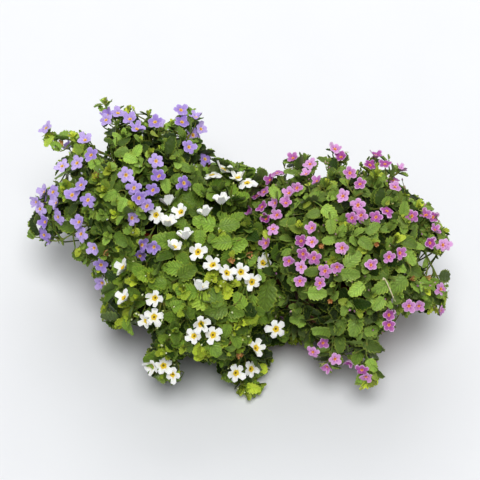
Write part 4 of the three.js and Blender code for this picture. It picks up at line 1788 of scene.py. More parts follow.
@dataclass
class Bacopa:
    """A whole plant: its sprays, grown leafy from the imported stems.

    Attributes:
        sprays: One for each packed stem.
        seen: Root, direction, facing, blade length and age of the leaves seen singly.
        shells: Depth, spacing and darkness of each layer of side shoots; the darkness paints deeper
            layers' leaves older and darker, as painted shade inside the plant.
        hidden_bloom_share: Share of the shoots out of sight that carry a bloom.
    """

    plant: Plant
    patterns: Patterns
    sight: Sight
    sprays: list[Spray] = field(default_factory=list)
    seen: list[tuple[Vector, Vector, Vector, float, float]] = field(default_factory=list)
    shells: tuple[tuple[float, float, float], ...] = ((2, 21, 0.0), (22, 26, 0.5), (46, 30, 1.0))
    hidden_bloom_share: float = 0.2

    def __post_init__(self) -> None:
        """Starts the plant's own row of chances."""
        self.rng = random.Random(self.plant.seed)

    def root(self, taken: list[tuple[float, float]]) -> None:
        """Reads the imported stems, and notes where their leaves are seen.

        Args:
            taken: Places in the soil where stems already stand, added to.
        """
        for packed, line in self.plant.stems(taken):
            spray = Spray(self.plant, packed, line, self.patterns, self.sight, self.rng)
            self.sprays.append(spray)
            for root, along, facing, blade in packed.leaves(self.plant, line):
                self.sight.add_leaf(root, along, facing, blade / (1 - LeafModel.stalk_share))

    def clear_sight(self) -> None:
        """Keeps the sight lines to the blooms clear, once every plant's leaves are known."""
        for spray in self.sprays:
            for centre, facing in spray.packed.blooms(self.plant.bloom_radius):
                if facing.dot(VIEW.back) > -0.2:
                    centre = self.sight.lifted(centre, self.plant.bloom_radius)
                    self.sight.add_bloom(centre, self.plant.bloom_radius)
        for pixel in self.plant.more_seen:
            self.sight.add_bloom(self._more_bloom(pixel), self.plant.bloom_radius)

    def lay_leaves_seen(self) -> None:
        """Lays the leaves that the photograph shows, each clear of the blooms in front."""
        for column, row, length, turn, age in self.plant.leaves_seen:
            start = self._seen((column, row), depth=-3, lowest=9)
            start = self.sight.lifted(start, radius=5.0)
            angle = math.radians(turn)
            flat = VIEW.right * math.cos(angle) + VIEW.up * math.sin(angle)
            outward = self.plant.crown.outward(start)
            facing = outward * 0.35 + VIEW.back * 0.75 + jitter(self.rng, 0.1)
            along = (flat + outward * 0.12).normalized()
            blade = length * VIEW.mm_per_pixel
            across = along.cross(facing).normalized() * (0.3 * blade)
            for sunk in range(0, 50, 5):
                middle = start - VIEW.back * sunk
                ends = (middle + along * (0.5 * blade), middle - along * (0.5 * blade))
                points = (middle, middle + across, middle - across, *ends)
                if all(has_room(p, 4) and not self.sight.hides_bloom(p) for p in points):
                    root = middle - along * (0.75 * blade)
                    self.seen.append((root, along, facing.normalized(), blade, age))
                    self.sight.add_large_leaf(middle, 0.42 * length)
                    break

    def _more_bloom(self, pixel: Pixel) -> Vector:
        """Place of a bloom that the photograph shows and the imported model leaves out."""
        place = self._seen(pixel, depth=-3, lowest=12)
        return self.sight.lifted(place, self.plant.bloom_radius)

    def _seen(self, pixel: Pixel, depth: float, lowest: float) -> Vector:
        """Place on the crown behind a pixel, nearer to the eye where it would be too low.

        Args:
            pixel: Column and row in the photograph.
            depth: How far beyond the crown's surface.
            lowest: The least height.

        Returns:
            The place.
        """
        point = self.plant.crown.seen(pixel, depth, lowest=-math.inf)
        line = VIEW.sight_line(pixel)
        return point + line * (max(0.0, lowest - point.z) / line.z)

    def grow(self) -> None:
        """Grows every spray, then what fills the spaces between them."""
        for spray in self.sprays:
            spray.add_packed_growth()
            spray.add_pairs(spray.line, start=1.5, gap=0.5 * self.plant.pair_spacing, deep=0.1)
        self._add_shoots()
        self._add_withered()
        self._add_more_blooms()
        self._add_leaves_seen()
        self._add_rosettes()
        self._add_dried_stems()

    def _add_shoots(self) -> None:
        """Fills the crown with side shoots, and the side away from the photograph with blooms."""
        crown, rng = self.plant.crown, self.rng
        others = [other.crown for other in PLANTS if other is not self.plant]
        for depth, spacing, deep in self.shells:
            for middle in crown.shell(spacing, depth):
                tip = middle + jitter(rng, 0.3 * spacing)
                if not has_room(tip, 0.0) or any(other.level(tip) < 0.8 for other in others):
                    continue
                bright = inside(BRIGHT_ZONE, VIEW.pixel_of(tip))
                away = crown.outward(tip).dot(VIEW.back) < 0.1
                if bright and not away and deep == 0 and self.plant is not WHITE:
                    continue
                hold = self._foothold(tip)
                if not hold:
                    continue
                hold.spray.add_shoot(hold.root, hold.heading, tip, deep)
                if deep == 0 and away and rng.random() < self.hidden_bloom_share:
                    self._add_hidden_bloom(hold.spray, tip)

    def _add_hidden_bloom(self, spray: Spray, tip: Vector) -> None:
        """Adds a bloom to a shoot that the photograph doesn't show, if it has room.

        Args:
            spray: The spray that the shoot is part of.
            tip: The shoot's tip.
        """
        rng, radius = self.rng, self.plant.bloom_radius
        facing = (self.plant.crown.outward(tip) + UP * 0.4 + jitter(rng, 0.3)).normalized()
        centre = tip + facing * 5
        if all(has_room(centre + step * radius, 0) for step in (UP, -UP, facing)):
            pattern = rng.choice(self.patterns.blooms[self.plant.name])
            spray.add_bloom(pattern, centre, facing, radius, rng.random())

    def _add_withered(self) -> None:
        """Adds the spent, brown blooms where the photograph shows them."""
        for pixel in self.plant.spent_seen:
            centre = self.plant.crown.seen(pixel, depth=-2, lowest=12)
            hold = self._foothold(centre)
            if hold:
                outward = self.plant.crown.outward(centre)
                facing = (outward + jitter(self.rng, 0.5)).normalized()
                radius = self.plant.bloom_radius * 0.62
                pattern, age = self.patterns.withered, self.rng.random()
                hold.spray.add_bloom(pattern, centre, facing, radius, age)

    def _add_more_blooms(self) -> None:
        """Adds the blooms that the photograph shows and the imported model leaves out."""
        for pixel in self.plant.more_seen:
            centre = self._more_bloom(pixel)
            hold = self._foothold(centre)
            if hold:
                facing = self.plant.crown.outward(centre) * 0.6 + VIEW.back * 0.3
                facing = (facing + jitter(self.rng, 0.35)).normalized()
                pattern = self.rng.choice(self.patterns.blooms[self.plant.name])
                radius = self.plant.bloom_radius * self.rng.uniform(0.95, 1.1)
                hold.spray.add_bloom(pattern, centre, facing, radius, age=0.3)

    def _add_leaves_seen(self) -> None:
        """Adds the leaves that were laid singly, each on a stalk of its own."""
        for root, along, facing, blade, age in self.seen:
            hold = self._foothold(root, most=90)
            if hold:
                hold.spray.add_thread(hold.root, hold.heading, root, along, r0=0.9, r1=0.6)
                hold.spray.add_leaf(root, along, facing, blade, age, sure=True)

    def _add_rosettes(self) -> None:
        """Adds the tufts of young leaves, on top of the others."""
        for pixel in self.plant.rosettes_seen:
            tip = self._seen(pixel, depth=-3, lowest=10)
            tip = self.sight.lifted(tip, radius=4.0, most=20.0)
            hold = self._foothold(tip, most=90)
            if hold:
                hold.spray.on_top = True
                hold.spray.add_shoot(hold.root, hold.heading, tip, deep=-0.5)
                hold.spray.on_top = False

    def _add_dried_stems(self) -> None:
        """Adds the dried stems that lie on the leaves."""
        for ends in self.plant.dried_seen:
            places = [self._seen(end, depth=-8, lowest=8) for end in ends]
            first, last = (self.sight.lifted(place, radius=6.0) for place in places)
            arrival = (last - first).normalized()
            line = Curve.between(first, UP.lerp(VIEW.up, 0.8), last, arrival)
            self.sprays[-1].dried.append((line.points, [0.9, 0.8, 0.8, 0.7, 0.8, 0.7, 0.6, 0.5]))

    def fill(self, pixel: Pixel) -> bool:
        """Grows a shoot towards a bare place, and says whether one could grow.

        Args:
            pixel: The bare place, as column and row.

        Returns:
            True if a shoot grew.
        """
        tip = self._seen(pixel, depth=7, lowest=12)
        hold = self._foothold(tip, most=95)
        if not hold or not has_room(tip, 0):
            return False
        hold.spray.add_shoot(hold.root, hold.heading, tip, deep=0.25)
        self.sight.cover(tip, radius=9)
        return True

    def _foothold(self, tip: Vector, most: float = 78) -> Foothold | None:
        """Where something best grows from to reach its tip, bending little.

        Args:
            tip: Where it ends.
            most: The longest that it may be.

        Returns:
            The place, or None where no stem is near enough.
        """
        best, least = None, math.inf
        for spray in self.sprays:
            for step in range(9):
                root, heading = spray.line.at(0.22 + 0.76 * step / 8)
                reach = (tip - root).length
                walled = RULE.in_box(root, RULE.box_height + 10)
                if not 9 < reach < most or (walled and tip.z < RULE.soil_crown):
                    continue
                lean = (tip - root).dot(heading) / reach
                cost = reach * (1.6 - lean)
                if lean > -0.35 and cost < least:
                    best, least = Foothold(spray, root, heading), cost
        return best

    def finish(self, finishes: Sequence[Material]) -> list[Object]:
        """Joins each spray, dresses it, hangs it on the body and hides its packed stem.

        Args:
            finishes: One material for each tissue.

        Returns:
            The sprays, one for each packed stem.
        """
        pieces = []
        for number, spray in enumerate(self.sprays, 1):
            name = f"{self.plant.name}_spray_{number:02d}"
            piece = spray.finish(name, finishes)
            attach(piece, BODY)
            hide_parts(spray.packed.name)
            faces = len(piece.data.polygons)
            log.info("%s: %d leaves and blooms, %d faces", name, len(spray.parts), faces)
            pieces.append(piece)
        return pieces


# ---------------------------------------------------------------- finishes


def shade(red: int, green: int, blue: int) -> tuple[float, float, float, float]:
    """A colour as it looks on a screen, 0 to 255, as a node's linear colour.

    Args:
        red: Its red.
        green: Its green.
        blue: Its blue.

    Returns:
        The linear colour, opaque.
    """

    def linear(value: int) -> float:
        """One channel made linear."""
        share = value / 255
        return share / 12.92 if share <= 0.04045 else ((share + 0.055) / 1.055) ** 2.4

    return (linear(red), linear(green), linear(blue), 1.0)


def as_input(colour: Colour | Socket) -> tuple[float, float, float, float] | Socket:
    """What a node's colour input takes for a colour, or for an output that gives it."""
    return shade(*colour) if isinstance(colour, tuple) else colour


class Tree:
    """A node tree with short ways to place and join its nodes."""

    def __init__(self, tree: NodeTree) -> None:
        """Wraps a tree."""
        self.tree = tree

    def node(self, kind: str, **settings: object) -> Node:
        """Adds a node and sets its properties.

        Args:
            kind: The node's type.
            **settings: Its properties.

        Returns:
            The node.
        """
        node = self.tree.nodes.new(kind)
        for name, value in settings.items():
            setattr(node, name, value)
        return node

    def feed(self, socket: Socket, value: Socket | float | Sequence[float]) -> None:
        """Links an output to an input, or sets the input's value.

        Args:
            socket: The input.
            value: The output, or the value.
        """
        if isinstance(value, Socket):
            self.tree.links.new(value, socket)
        else:
            socket.default_value = value

    def math(self, operation: str, *values: Socket | float, clamp: bool = False) -> Socket:
        """Adds a math node.

        Args:
            operation: The node's operation.
            *values: Its inputs.
            clamp: Whether the result stays between 0 and 1.

        Returns:
            The result.
        """
        node = self.node("ShaderNodeMath", operation=operation, use_clamp=clamp)
        for socket, value in zip(node.inputs, values):
            self.feed(socket, value)
        return node.outputs[0]

    def blend(
        self, share: Socket | float, first: Colour | Socket, second: Colour | Socket,
        way: str = "MIX",
    ) -> Socket:
        """Mixes two colours.

        Args:
            share: How much of the second.
            first: The first colour, or the output that gives it.
            second: The second, in the same way.
            way: The blend type.

        Returns:
            The mixed colour.
        """
        node = self.node("ShaderNodeMix", data_type="RGBA", blend_type=way)
        self.feed(node.inputs[0], share)
        self.feed(node.inputs[6], as_input(first))
        self.feed(node.inputs[7], as_input(second))
        return node.outputs[2]

    def band(self, value: Socket | float, low: float, high: float) -> Socket:
        """A smooth step from 0 at low to 1 at high.

        Args:
            value: The value.
            low: Where the step starts.
            high: Where it ends.

        Returns:
            The result, 0 to 1.
        """
        node = self.node("ShaderNodeMapRange", interpolation_type="SMOOTHSTEP")
        self.feed(node.inputs[0], value)
        node.inputs[1].default_value, node.inputs[2].default_value = low, high
        return node.outputs[0]

    def times(self, first: Socket | float, second: Socket | float) -> Socket:
        """The product of two values."""
        return self.math("MULTIPLY", first, second)

    def plus(self, first: Socket | float, second: Socket | float, clamp: bool = False) -> Socket:
        """The sum of two values, kept between 0 and 1 if clamped."""
        return self.math("ADD", first, second, clamp=clamp)

    def minus(self, first: Socket | float, second: Socket | float) -> Socket:
        """The difference of two values."""
        return self.math("SUBTRACT", first, second)

    def places(self) -> Socket:
        """Where the shaded point lies in the piece, in metres."""
        return self.node("ShaderNodeTexCoord").outputs["Object"]

    def map_parts(self, vector: Socket) -> Sequence[Socket]:
        """The three parts of a vector.

        Args:
            vector: The vector.

        Returns:
            Its x, y and z.
        """
        parts = self.node("ShaderNodeSeparateXYZ")
        self.feed(parts.inputs[0], vector)
        return parts.outputs

    def attribute(self, name: str) -> Socket:
        """A value kept at the mesh's points."""
        return self.node("ShaderNodeAttribute", attribute_name=name).outputs["Fac"]

    def noise(self, size: float, detail: float = 3.0, source: Socket | None = None) -> Socket:
        """Noise with features of a size in millimetres, fixed to the object.

        Args:
            size: Size of a feature.
            detail: Finer layers.
            source: Coordinates, the object's own when left out.

        Returns:
            The value, 0 to 1.
        """
        node = self.node("ShaderNodeTexNoise")
        node.inputs["Scale"].default_value = 1 / (size * MM)
        node.inputs["Detail"].default_value = detail
        self.feed(node.inputs["Vector"], source or self.places())
        return node.outputs["Fac"]

    def group(self, tree: NodeTree, **values: object) -> Node:
        """Places a shared group and feeds its named inputs.

        Args:
            tree: The group's tree.
            **values: A value or an output for each named input.

        Returns:
            The group's node.
        """
        node = self.node("ShaderNodeGroup")
        node.node_tree = tree
        for name, value in values.items():
            self.feed(node.inputs[name], value)
        return node


def new_group(name: str, inputs: dict[str, str], outputs: dict[str, str]) -> tuple:
    """Starts a shared node group with named sockets.

    Args:
        name: The group's name.
        inputs: Socket type of each input by name.
        outputs: Socket type of each output by name.

    Returns:
        The group's tree, its Tree helper, its input node and its output node.
    """
    tree = bpy.data.node_groups.new(name, "ShaderNodeTree")
    for names, way in ((inputs, "INPUT"), (outputs, "OUTPUT")):
        for socket, kind in names.items():
            tree.interface.new_socket(name=socket, in_out=way, socket_type=kind)
    helper = Tree(tree)
    return tree, helper, helper.node("NodeGroupInput"), helper.node("NodeGroupOutput")


FLOAT, COLOUR, VECTOR = "NodeSocketFloat", "NodeSocketColor", "NodeSocketVector"


class SharedEffects:
    """Node groups that more than one finish uses."""

    def __init__(self) -> None:
        """Builds the groups."""
        self.veins = self._veins()
        self.petal = self._petal()
        self.mottle = self._mottle()

    @staticmethod
    def _veins() -> NodeTree:
        """A leaf's midrib, side veins and net from its map, its lower face and its margin.

        Returns:
            The group's tree.
        """
        tree, t, start, end = new_group(
            "leaf_veins",
            {"Map": VECTOR, "Width": FLOAT},
            {"Veins": FLOAT, "Relief": FLOAT, "Underside": FLOAT, "Margin": FLOAT},
        )
        across, along, _ = t.map_parts(start.outputs["Map"])
        under = t.math("GREATER_THAN", along, 1.5)
        along = t.minus(along, t.times(under, 2.0))
        side = t.math("ABSOLUTE", t.minus(across, 0.5))
        width = start.outputs["Width"]
        midrib = t.minus(1.0, t.band(t.math("DIVIDE", side, width), 0.012, 0.05))
        slant = t.minus(along, t.times(side, 0.55))
        wave = t.math("FRACT", t.times(slant, 7.0))
        wave = t.math("ABSOLUTE", t.minus(wave, 0.5))
        branches = t.minus(1.0, t.band(t.math("DIVIDE", wave, width), 0.03, 0.14))
        branches = t.times(branches, t.band(along, 0.2, 0.3))
        net = t.node("ShaderNodeTexVoronoi", feature="DISTANCE_TO_EDGE")
        t.feed(net.inputs["Vector"], start.outputs["Map"])
        net.inputs["Scale"].default_value = 11.0
        cell = t.math("DIVIDE", net.outputs["Distance"], width)
        mesh = t.times(t.minus(1.0, t.band(cell, 0.02, 0.1)), 0.45)
        veins = t.math("MAXIMUM", t.math("MAXIMUM", midrib, branches), mesh, clamp=True)
        t.feed(end.inputs["Veins"], veins)
        t.feed(end.inputs["Relief"], t.minus(1.0, veins))
        t.feed(end.inputs["Underside"], under)
        t.feed(end.inputs["Margin"], t.band(side, 0.36, 0.5))
        return tree

    @staticmethod
    def _petal() -> NodeTree:
        """A bloom's eye, the ring round it, its veins and its outer edge, from its map.

        Returns:
            The group's tree.
        """
        tree, t, start, end = new_group(
            "petal_marks",
            {"Map": VECTOR, "Wobble": FLOAT, "Shrink": FLOAT},
            {"Eye": FLOAT, "Ring": FLOAT, "Veins": FLOAT, "Edge": FLOAT, "Spots": FLOAT},
        )
        across, reach, _ = t.map_parts(start.outputs["Map"])
        off = t.math("ABSOLUTE", t.minus(across, 0.5))
        loose = t.plus(reach, t.times(start.outputs["Wobble"], 0.08))
        inner = t.plus(loose, start.outputs["Shrink"])
        t.feed(end.inputs["Eye"], t.minus(1.0, t.band(inner, 0.25, 0.36)))
        ring = t.minus(1.0, t.band(inner, 0.34, 0.62))
        t.feed(end.inputs["Ring"], t.times(ring, t.minus(1.0, t.band(off, 0.1, 0.4))))
        stripe = t.math("FRACT", t.times(across, 8.0))
        stripe = t.math("ABSOLUTE", t.minus(stripe, 0.5))
        stripe = t.minus(1.0, t.band(stripe, 0.04, 0.22))
        t.feed(end.inputs["Veins"], t.times(stripe, t.band(reach, 0.2, 0.45)))
        rounded = t.plus(loose, t.times(off, 0.35))
        t.feed(end.inputs["Edge"], t.band(rounded, 0.7, 1.05))
        t.feed(end.inputs["Spots"], t.minus(1.0, t.band(loose, 0.05, 0.16)))
        return tree

    @staticmethod
    def _mottle() -> NodeTree:
        """Soft uneven colour: a colour made darker and lighter in patches.

        Returns:
            The group's tree.
        """
        tree, t, start, end = new_group(
            "mottle",
            {"Colour": COLOUR, "Patches": FLOAT, "Strength": FLOAT},
            {"Colour": COLOUR, "Grain": FLOAT},
        )
        node = t.node("ShaderNodeTexNoise")
        t.feed(node.inputs["Vector"], t.places())
        t.feed(node.inputs["Scale"], start.outputs["Patches"])
        node.inputs["Detail"].default_value = 4.0
        grain = node.outputs["Fac"]
        swing = t.times(t.minus(grain, 0.5), start.outputs["Strength"])
        level = t.plus(1.0, swing)
        scale = t.node("ShaderNodeVectorMath", operation="SCALE")
        t.feed(scale.inputs[0], start.outputs["Colour"])
        t.feed(scale.inputs["Scale"], level)
        t.feed(end.inputs["Colour"], scale.outputs[0])
        t.feed(end.inputs["Grain"], grain)
        return tree


class MaterialTree(Tree):
    """A material's node tree, with the shared groups and its Principled BSDF at hand."""

    def __init__(self, material: Material, effects: SharedEffects) -> None:
        """Wraps a material's tree.

        Args:
            material: The material, which uses nodes.
            effects: The shared node groups.
        """
        super().__init__(material.node_tree)
        self.effects = effects
        self.shader = material.node_tree.nodes["Principled BSDF"]

    def mottled(self, colour: Colour | Socket, size: float, strength: float) -> Node:
        """Places the mottle group, with patches of a size in millimetres, and returns its node."""
        values = {"Colour": as_input(colour), "Patches": 1 / (size * MM), "Strength": strength}
        return self.group(self.effects.mottle, **values)


@dataclass(frozen=True, kw_only=True)
class Finish:
    """What every finish has.

    Attributes:
        relief: How strong its bumps are, with relief_depth as their height in millimetres.
        sockets: Further values of the Principled BSDF, by input name.
    """

    name: str
    roughness: float = 0.6
    relief: float = 0.2
    relief_depth: float = 0.3
    specular: float = 0.5
    sockets: ClassVar[dict[str, float | tuple[float, ...]]] = {}

    def material(self, effects: SharedEffects) -> Material:
        """Builds the material.

        Args:
            effects: The shared node groups.

        Returns:
            The material.
        """
        material = bpy.data.materials.new(self.name)
        material.use_nodes = True
        tree = MaterialTree(material, effects)
        inputs = tree.shader.inputs
        gloss = {"Roughness": self.roughness, "Specular IOR Level": self.specular}
        for name, value in {**gloss, **self.sockets}.items():
            inputs[name].default_value = value
        colour, height = self.paint(tree)
        tree.feed(inputs["Base Color"], colour)
        bump = tree.node("ShaderNodeBump")
        bump.inputs["Strength"].default_value = self.relief
        bump.inputs["Distance"].default_value = self.relief_depth * MM
        tree.feed(bump.inputs["Height"], height)
        tree.feed(inputs["Normal"], bump.outputs[0])
        return material

    def paint(self, tree: MaterialTree) -> tuple[Socket, Socket]:
        """Colour and height of the surface, as two outputs."""
        raise NotImplementedError


@dataclass(frozen=True, kw_only=True)
class LeafFinish(Finish):
    """Leaves: bright when young, dark when old or deep in the plant, where the dark green is
    painted shade, with sunken veins and a paler lower face.
    """

    young: Colour
    grown: Colour
    # old_and_shaded: the colour at age 1, both the dark green of old leaves and painted shade for
    # leaves deep in the plant.
    old_and_shaded: Colour
    under: Colour = (146, 164, 104)
    vein_shade: float = 0.38
    vein_width: float = 1.0
    roughness: float = 0.42
    relief: float = 0.8
    relief_depth: float = 0.6
    specular: float = 0.32
    sockets = {
        "Subsurface Weight": 0.12, "Subsurface Radius": (0.4, 1.0, 0.2),
        "Subsurface Scale": 0.0015, "Sheen Weight": 0.08, "Sheen Roughness": 0.4,
        "Sheen Tint": (0.95, 1.0, 0.72, 1.0),
    }

    def paint(self, tree: MaterialTree) -> tuple[Socket, Socket]:
        """Colour and height of a leaf.

        Args:
            tree: The material's nodes.

        Returns:
            The colour and the height.
        """
        uv = tree.node("ShaderNodeUVMap", uv_map="UVMap").outputs[0]
        age, tone = tree.attribute("age"), tree.attribute("tone")
        ripe = tree.band(age, 0.0, 0.34)
        body = tree.blend(ripe, self.young, self.grown)
        # Age over 0.5 blends to the dark green: old leaves, and painted shade on leaves deep in the
        # plant.
        body = tree.blend(tree.band(age, 0.5, 1.0), body, self.old_and_shaded)
        light = tree.plus(0.55, tone)
        body = tree.blend(1.0, body, self._grey(tree, light), "MULTIPLY")
        veins = tree.group(tree.effects.veins, Map=uv, Width=self.vein_width)
        margin = tree.times(veins.outputs["Margin"], 0.3)
        body = tree.blend(margin, body, self.young)
        dark = tree.times(veins.outputs["Veins"], self.vein_shade)
        dark = tree.times(dark, tree.plus(0.35, tree.times(ripe, 0.65)))
        body = tree.blend(dark, body, tuple(round(part * 0.55) for part in self.grown))
        below = tree.times(veins.outputs["Underside"], 0.45)
        body = tree.blend(below, body, self.under)
        spots = tree.mottled(body, size=3.5, strength=0.5)
        grain = tree.times(spots.outputs["Grain"], 0.4)
        return spots.outputs["Colour"], tree.plus(veins.outputs["Relief"], grain)

    @staticmethod
    def _grey(tree: Tree, level: Socket) -> Socket:
        """A grey of a level that may pass 1.

        Args:
            tree: The material's nodes.
            level: The level.

        Returns:
            The grey.
        """
        node = tree.node("ShaderNodeCombineXYZ")
        for socket in node.inputs:
            tree.feed(socket, level)
        return node.outputs[0]


@dataclass(frozen=True, kw_only=True)
class PetalFinish(Finish):
    """Petals: a coloured lobe with fine veins, a golden eye and a paler edge."""

    body: Colour
    faded: Colour
    edge: Colour
    ring: Colour
    eye: Colour
    spot: Colour
    vein: Colour
    vein_strength: float
    ring_strength: float
    eye_shrink: float = 0.0
    roughness: float = 0.55
    relief: float = 0.3
    specular: float = 0.25
    sockets = {
        "Subsurface Weight": 0.2, "Subsurface Radius": (1.0, 0.8, 1.0),
        "Subsurface Scale": 0.0015,
    }

    def paint(self, tree: MaterialTree) -> tuple[Socket, Socket]:
        """Colour and height of a petal.

        Args:
            tree: The material's nodes.

        Returns:
            The colour and the height.
        """
        uv = tree.node("ShaderNodeUVMap", uv_map="UVMap").outputs[0]
        wobble = tree.minus(tree.noise(2.2), 0.5)
        marks = tree.group(tree.effects.petal, Map=uv, Wobble=wobble, Shrink=self.eye_shrink)
        colour = tree.blend(tree.attribute("tone"), self.body, self.faded)
        colour = tree.blend(marks.outputs["Edge"], colour, self.edge)
        veins = tree.times(marks.outputs["Veins"], self.vein_strength)
        colour = tree.blend(veins, colour, self.vein)
        ring = tree.times(marks.outputs["Ring"], self.ring_strength)
        colour = tree.blend(ring, colour, self.ring)
        colour = tree.blend(marks.outputs["Eye"], colour, self.eye)
        colour = tree.blend(marks.outputs["Spots"], colour, self.spot)
        soft = tree.mottled(colour, size=4, strength=0.16)
        return soft.outputs["Colour"], marks.outputs["Veins"]


@dataclass(frozen=True, kw_only=True)
class PatchyFinish(Finish):
    """Two colours in uneven patches with a grain: stems, buds, spent blooms, crumbs."""

    first: Colour
    second: Colour
    patch: float = 6.0
    grain: float = 0.8
    specular: float = 0.3

    def paint(self, tree: MaterialTree) -> tuple[Socket, Socket]:
        """Colour and height of the patches.

        Args:
            tree: The material's nodes.

        Returns:
            The colour and the height.
        """
        share = tree.band(tree.noise(self.patch), 0.35, 0.65)
        colour = tree.blend(share, self.first, self.second)
        fine = tree.mottled(colour, self.grain, strength=0.7)
        return fine.outputs["Colour"], fine.outputs["Grain"]


@dataclass(frozen=True, kw_only=True)
class PlasticFinish(Finish):
    """Moulded plastic: an even colour dulled by a fine grain, dust and faint scuffs."""

    colour: Colour = (112, 44, 24)
    dust: Colour = (134, 92, 72)
    scuff: Colour = (176, 128, 100)

    def paint(self, tree: MaterialTree) -> tuple[Socket, Socket]:
        """Colour and height of the plastic.

        Args:
            tree: The material's nodes.

        Returns:
            The colour and the height.
        """
        base = tree.mottled(self.colour, size=45, strength=0.5)
        marks = tree.band(tree.noise(22, detail=8), 0.55, 0.78)
        low = tree.minus(1.0, tree.band(tree.map_parts(tree.places())[2], 0.0, 0.05))
        dusty = tree.times(tree.plus(marks, low, clamp=True), 0.28)
        colour = tree.blend(dusty, base.outputs["Colour"], self.dust)
        stretched = tree.node("ShaderNodeMapping")
        tree.feed(stretched.inputs[0], tree.places())
        stretched.inputs["Scale"].default_value = (1, 1, 14)
        scuffs = tree.band(tree.noise(14, detail=6, source=stretched.outputs[0]), 0.66, 0.72)
        colour = tree.blend(tree.times(scuffs, 0.2), colour, self.scuff)
        rough = tree.plus(0.42, dusty, clamp=True)
        tree.feed(tree.shader.inputs["Roughness"], rough)
        return colour, tree.noise(0.5, detail=2)


@dataclass(frozen=True, kw_only=True)
class SoilFinish(Finish):
    """Dark crumbly potting soil with brown fibres and a few pale grains."""

    dark: Colour = (28, 20, 15)
    brown: Colour = (66, 48, 34)
    pale: Colour = (170, 160, 145)
    crumb: float = 2.6

    def paint(self, tree: MaterialTree) -> tuple[Socket, Socket]:
        """Colour and height of the soil.

        Args:
            tree: The material's nodes.

        Returns:
            The colour and the height.
        """
        crumbs = tree.node("ShaderNodeTexVoronoi", feature="F1")
        tree.feed(crumbs.inputs["Vector"], tree.places())
        crumbs.inputs["Scale"].default_value = 1 / (self.crumb * MM)
        share = tree.band(tree.noise(3.0, detail=5), 0.4, 0.62)
        colour = tree.blend(share, self.dark, self.brown)
        parts = tree.node("ShaderNodeSeparateColor")
        tree.feed(parts.inputs[0], crumbs.outputs["Color"])
        grains = tree.math("GREATER_THAN", parts.outputs[0], 0.96)
        colour = tree.blend(tree.times(grains, 0.7), colour, self.pale)
        hollows = tree.times(crumbs.outputs["Distance"], -0.8)
        return colour, tree.plus(tree.noise(1.2, detail=4), hollows)


@dataclass(frozen=True, kw_only=True)
class FloorFinish(Finish):
    """The studio's pale floor, very slightly uneven."""

    colour: Colour = (234, 235, 237)
    specular: float = 0.2

    def paint(self, tree: MaterialTree) -> tuple[Socket, Socket]:
        """Colour and height of the floor."""
        base = tree.mottled(self.colour, size=120, strength=0.04)
        return base.outputs["Colour"], base.outputs["Grain"]


# Each plant's old_and_shaded colour is a near-black green: the green of old leaves, and painted
# shade deep in the plant.
LEAVES = {
    "lavender": LeafFinish(
        name="lavender_plant_leaf", young=(230, 246, 90), grown=(158, 192, 88), old_and_shaded=(41, 66, 8)
    ),
    "white": LeafFinish(
        name="white_plant_leaf", young=(214, 233, 80), grown=(134, 165, 66), old_and_shaded=(42, 70, 6),
        vein_shade=0.4, vein_width=1.4, roughness=0.4, relief_depth=0.8,
    ),
    "pink": LeafFinish(
        name="pink_plant_leaf", young=(226, 242, 90), grown=(150, 180, 84), old_and_shaded=(39, 62, 8)
    ),
}
PETALS = {
    "lavender": PetalFinish(
        name="lavender_petal", body=(152, 122, 204), faded=(224, 206, 248), edge=(206, 186, 242),
        ring=(140, 100, 184), eye=(232, 196, 90), spot=(190, 120, 50), vein=(128, 98, 190),
        ring_strength=0.55, vein_strength=0.5, eye_shrink=0.09,
    ),
    "white": PetalFinish(
        name="white_petal", body=(249, 249, 246), faded=(253, 253, 251), edge=(254, 254, 253),
        ring=(226, 222, 160), eye=(226, 196, 50), spot=(96, 76, 22), vein=(222, 222, 216),
        ring_strength=0.4, vein_strength=0.4,
    ),
    "pink": PetalFinish(
        name="pink_petal", body=(166, 74, 154), faded=(238, 186, 234), edge=(240, 200, 238),
        ring=(156, 50, 138), eye=(234, 168, 84), spot=(180, 84, 50), vein=(160, 66, 152),
        ring_strength=0.7, vein_strength=0.55, eye_shrink=0.09,
    ),
}
BUDS = {
    "lavender": PatchyFinish(name="lavender_bud", first=(196, 196, 214), second=(160, 180, 96)),
    "white": PatchyFinish(name="white_bud", first=(242, 244, 214), second=(206, 216, 130)),
    "pink": PatchyFinish(name="pink_bud", first=(196, 126, 190), second=(168, 176, 96)),
}
STEM = PatchyFinish(name="green_stem", relief=0.3, first=(104, 134, 56), second=(134, 132, 66))
WITHERED = PatchyFinish(
    name="spent_petal", roughness=0.75, relief=0.5, first=(214, 172, 118), second=(166, 112, 66),
    patch=3.0,
)
DRIED = PatchyFinish(
    name="dried_stem", roughness=0.7, relief=0.3, first=(236, 230, 204), second=(210, 198, 156)
)
PLASTIC = PlasticFinish(name="red_brown_plastic", roughness=0.45, relief=0.08, relief_depth=0.1)
SOIL = SoilFinish(name="potting_soil", roughness=0.95, relief=0.9, relief_depth=1.6)
FLOOR = FloorFinish(name="studio_floor", roughness=0.75, relief=0.02)


# ---------------------------------------------------------------- the window box


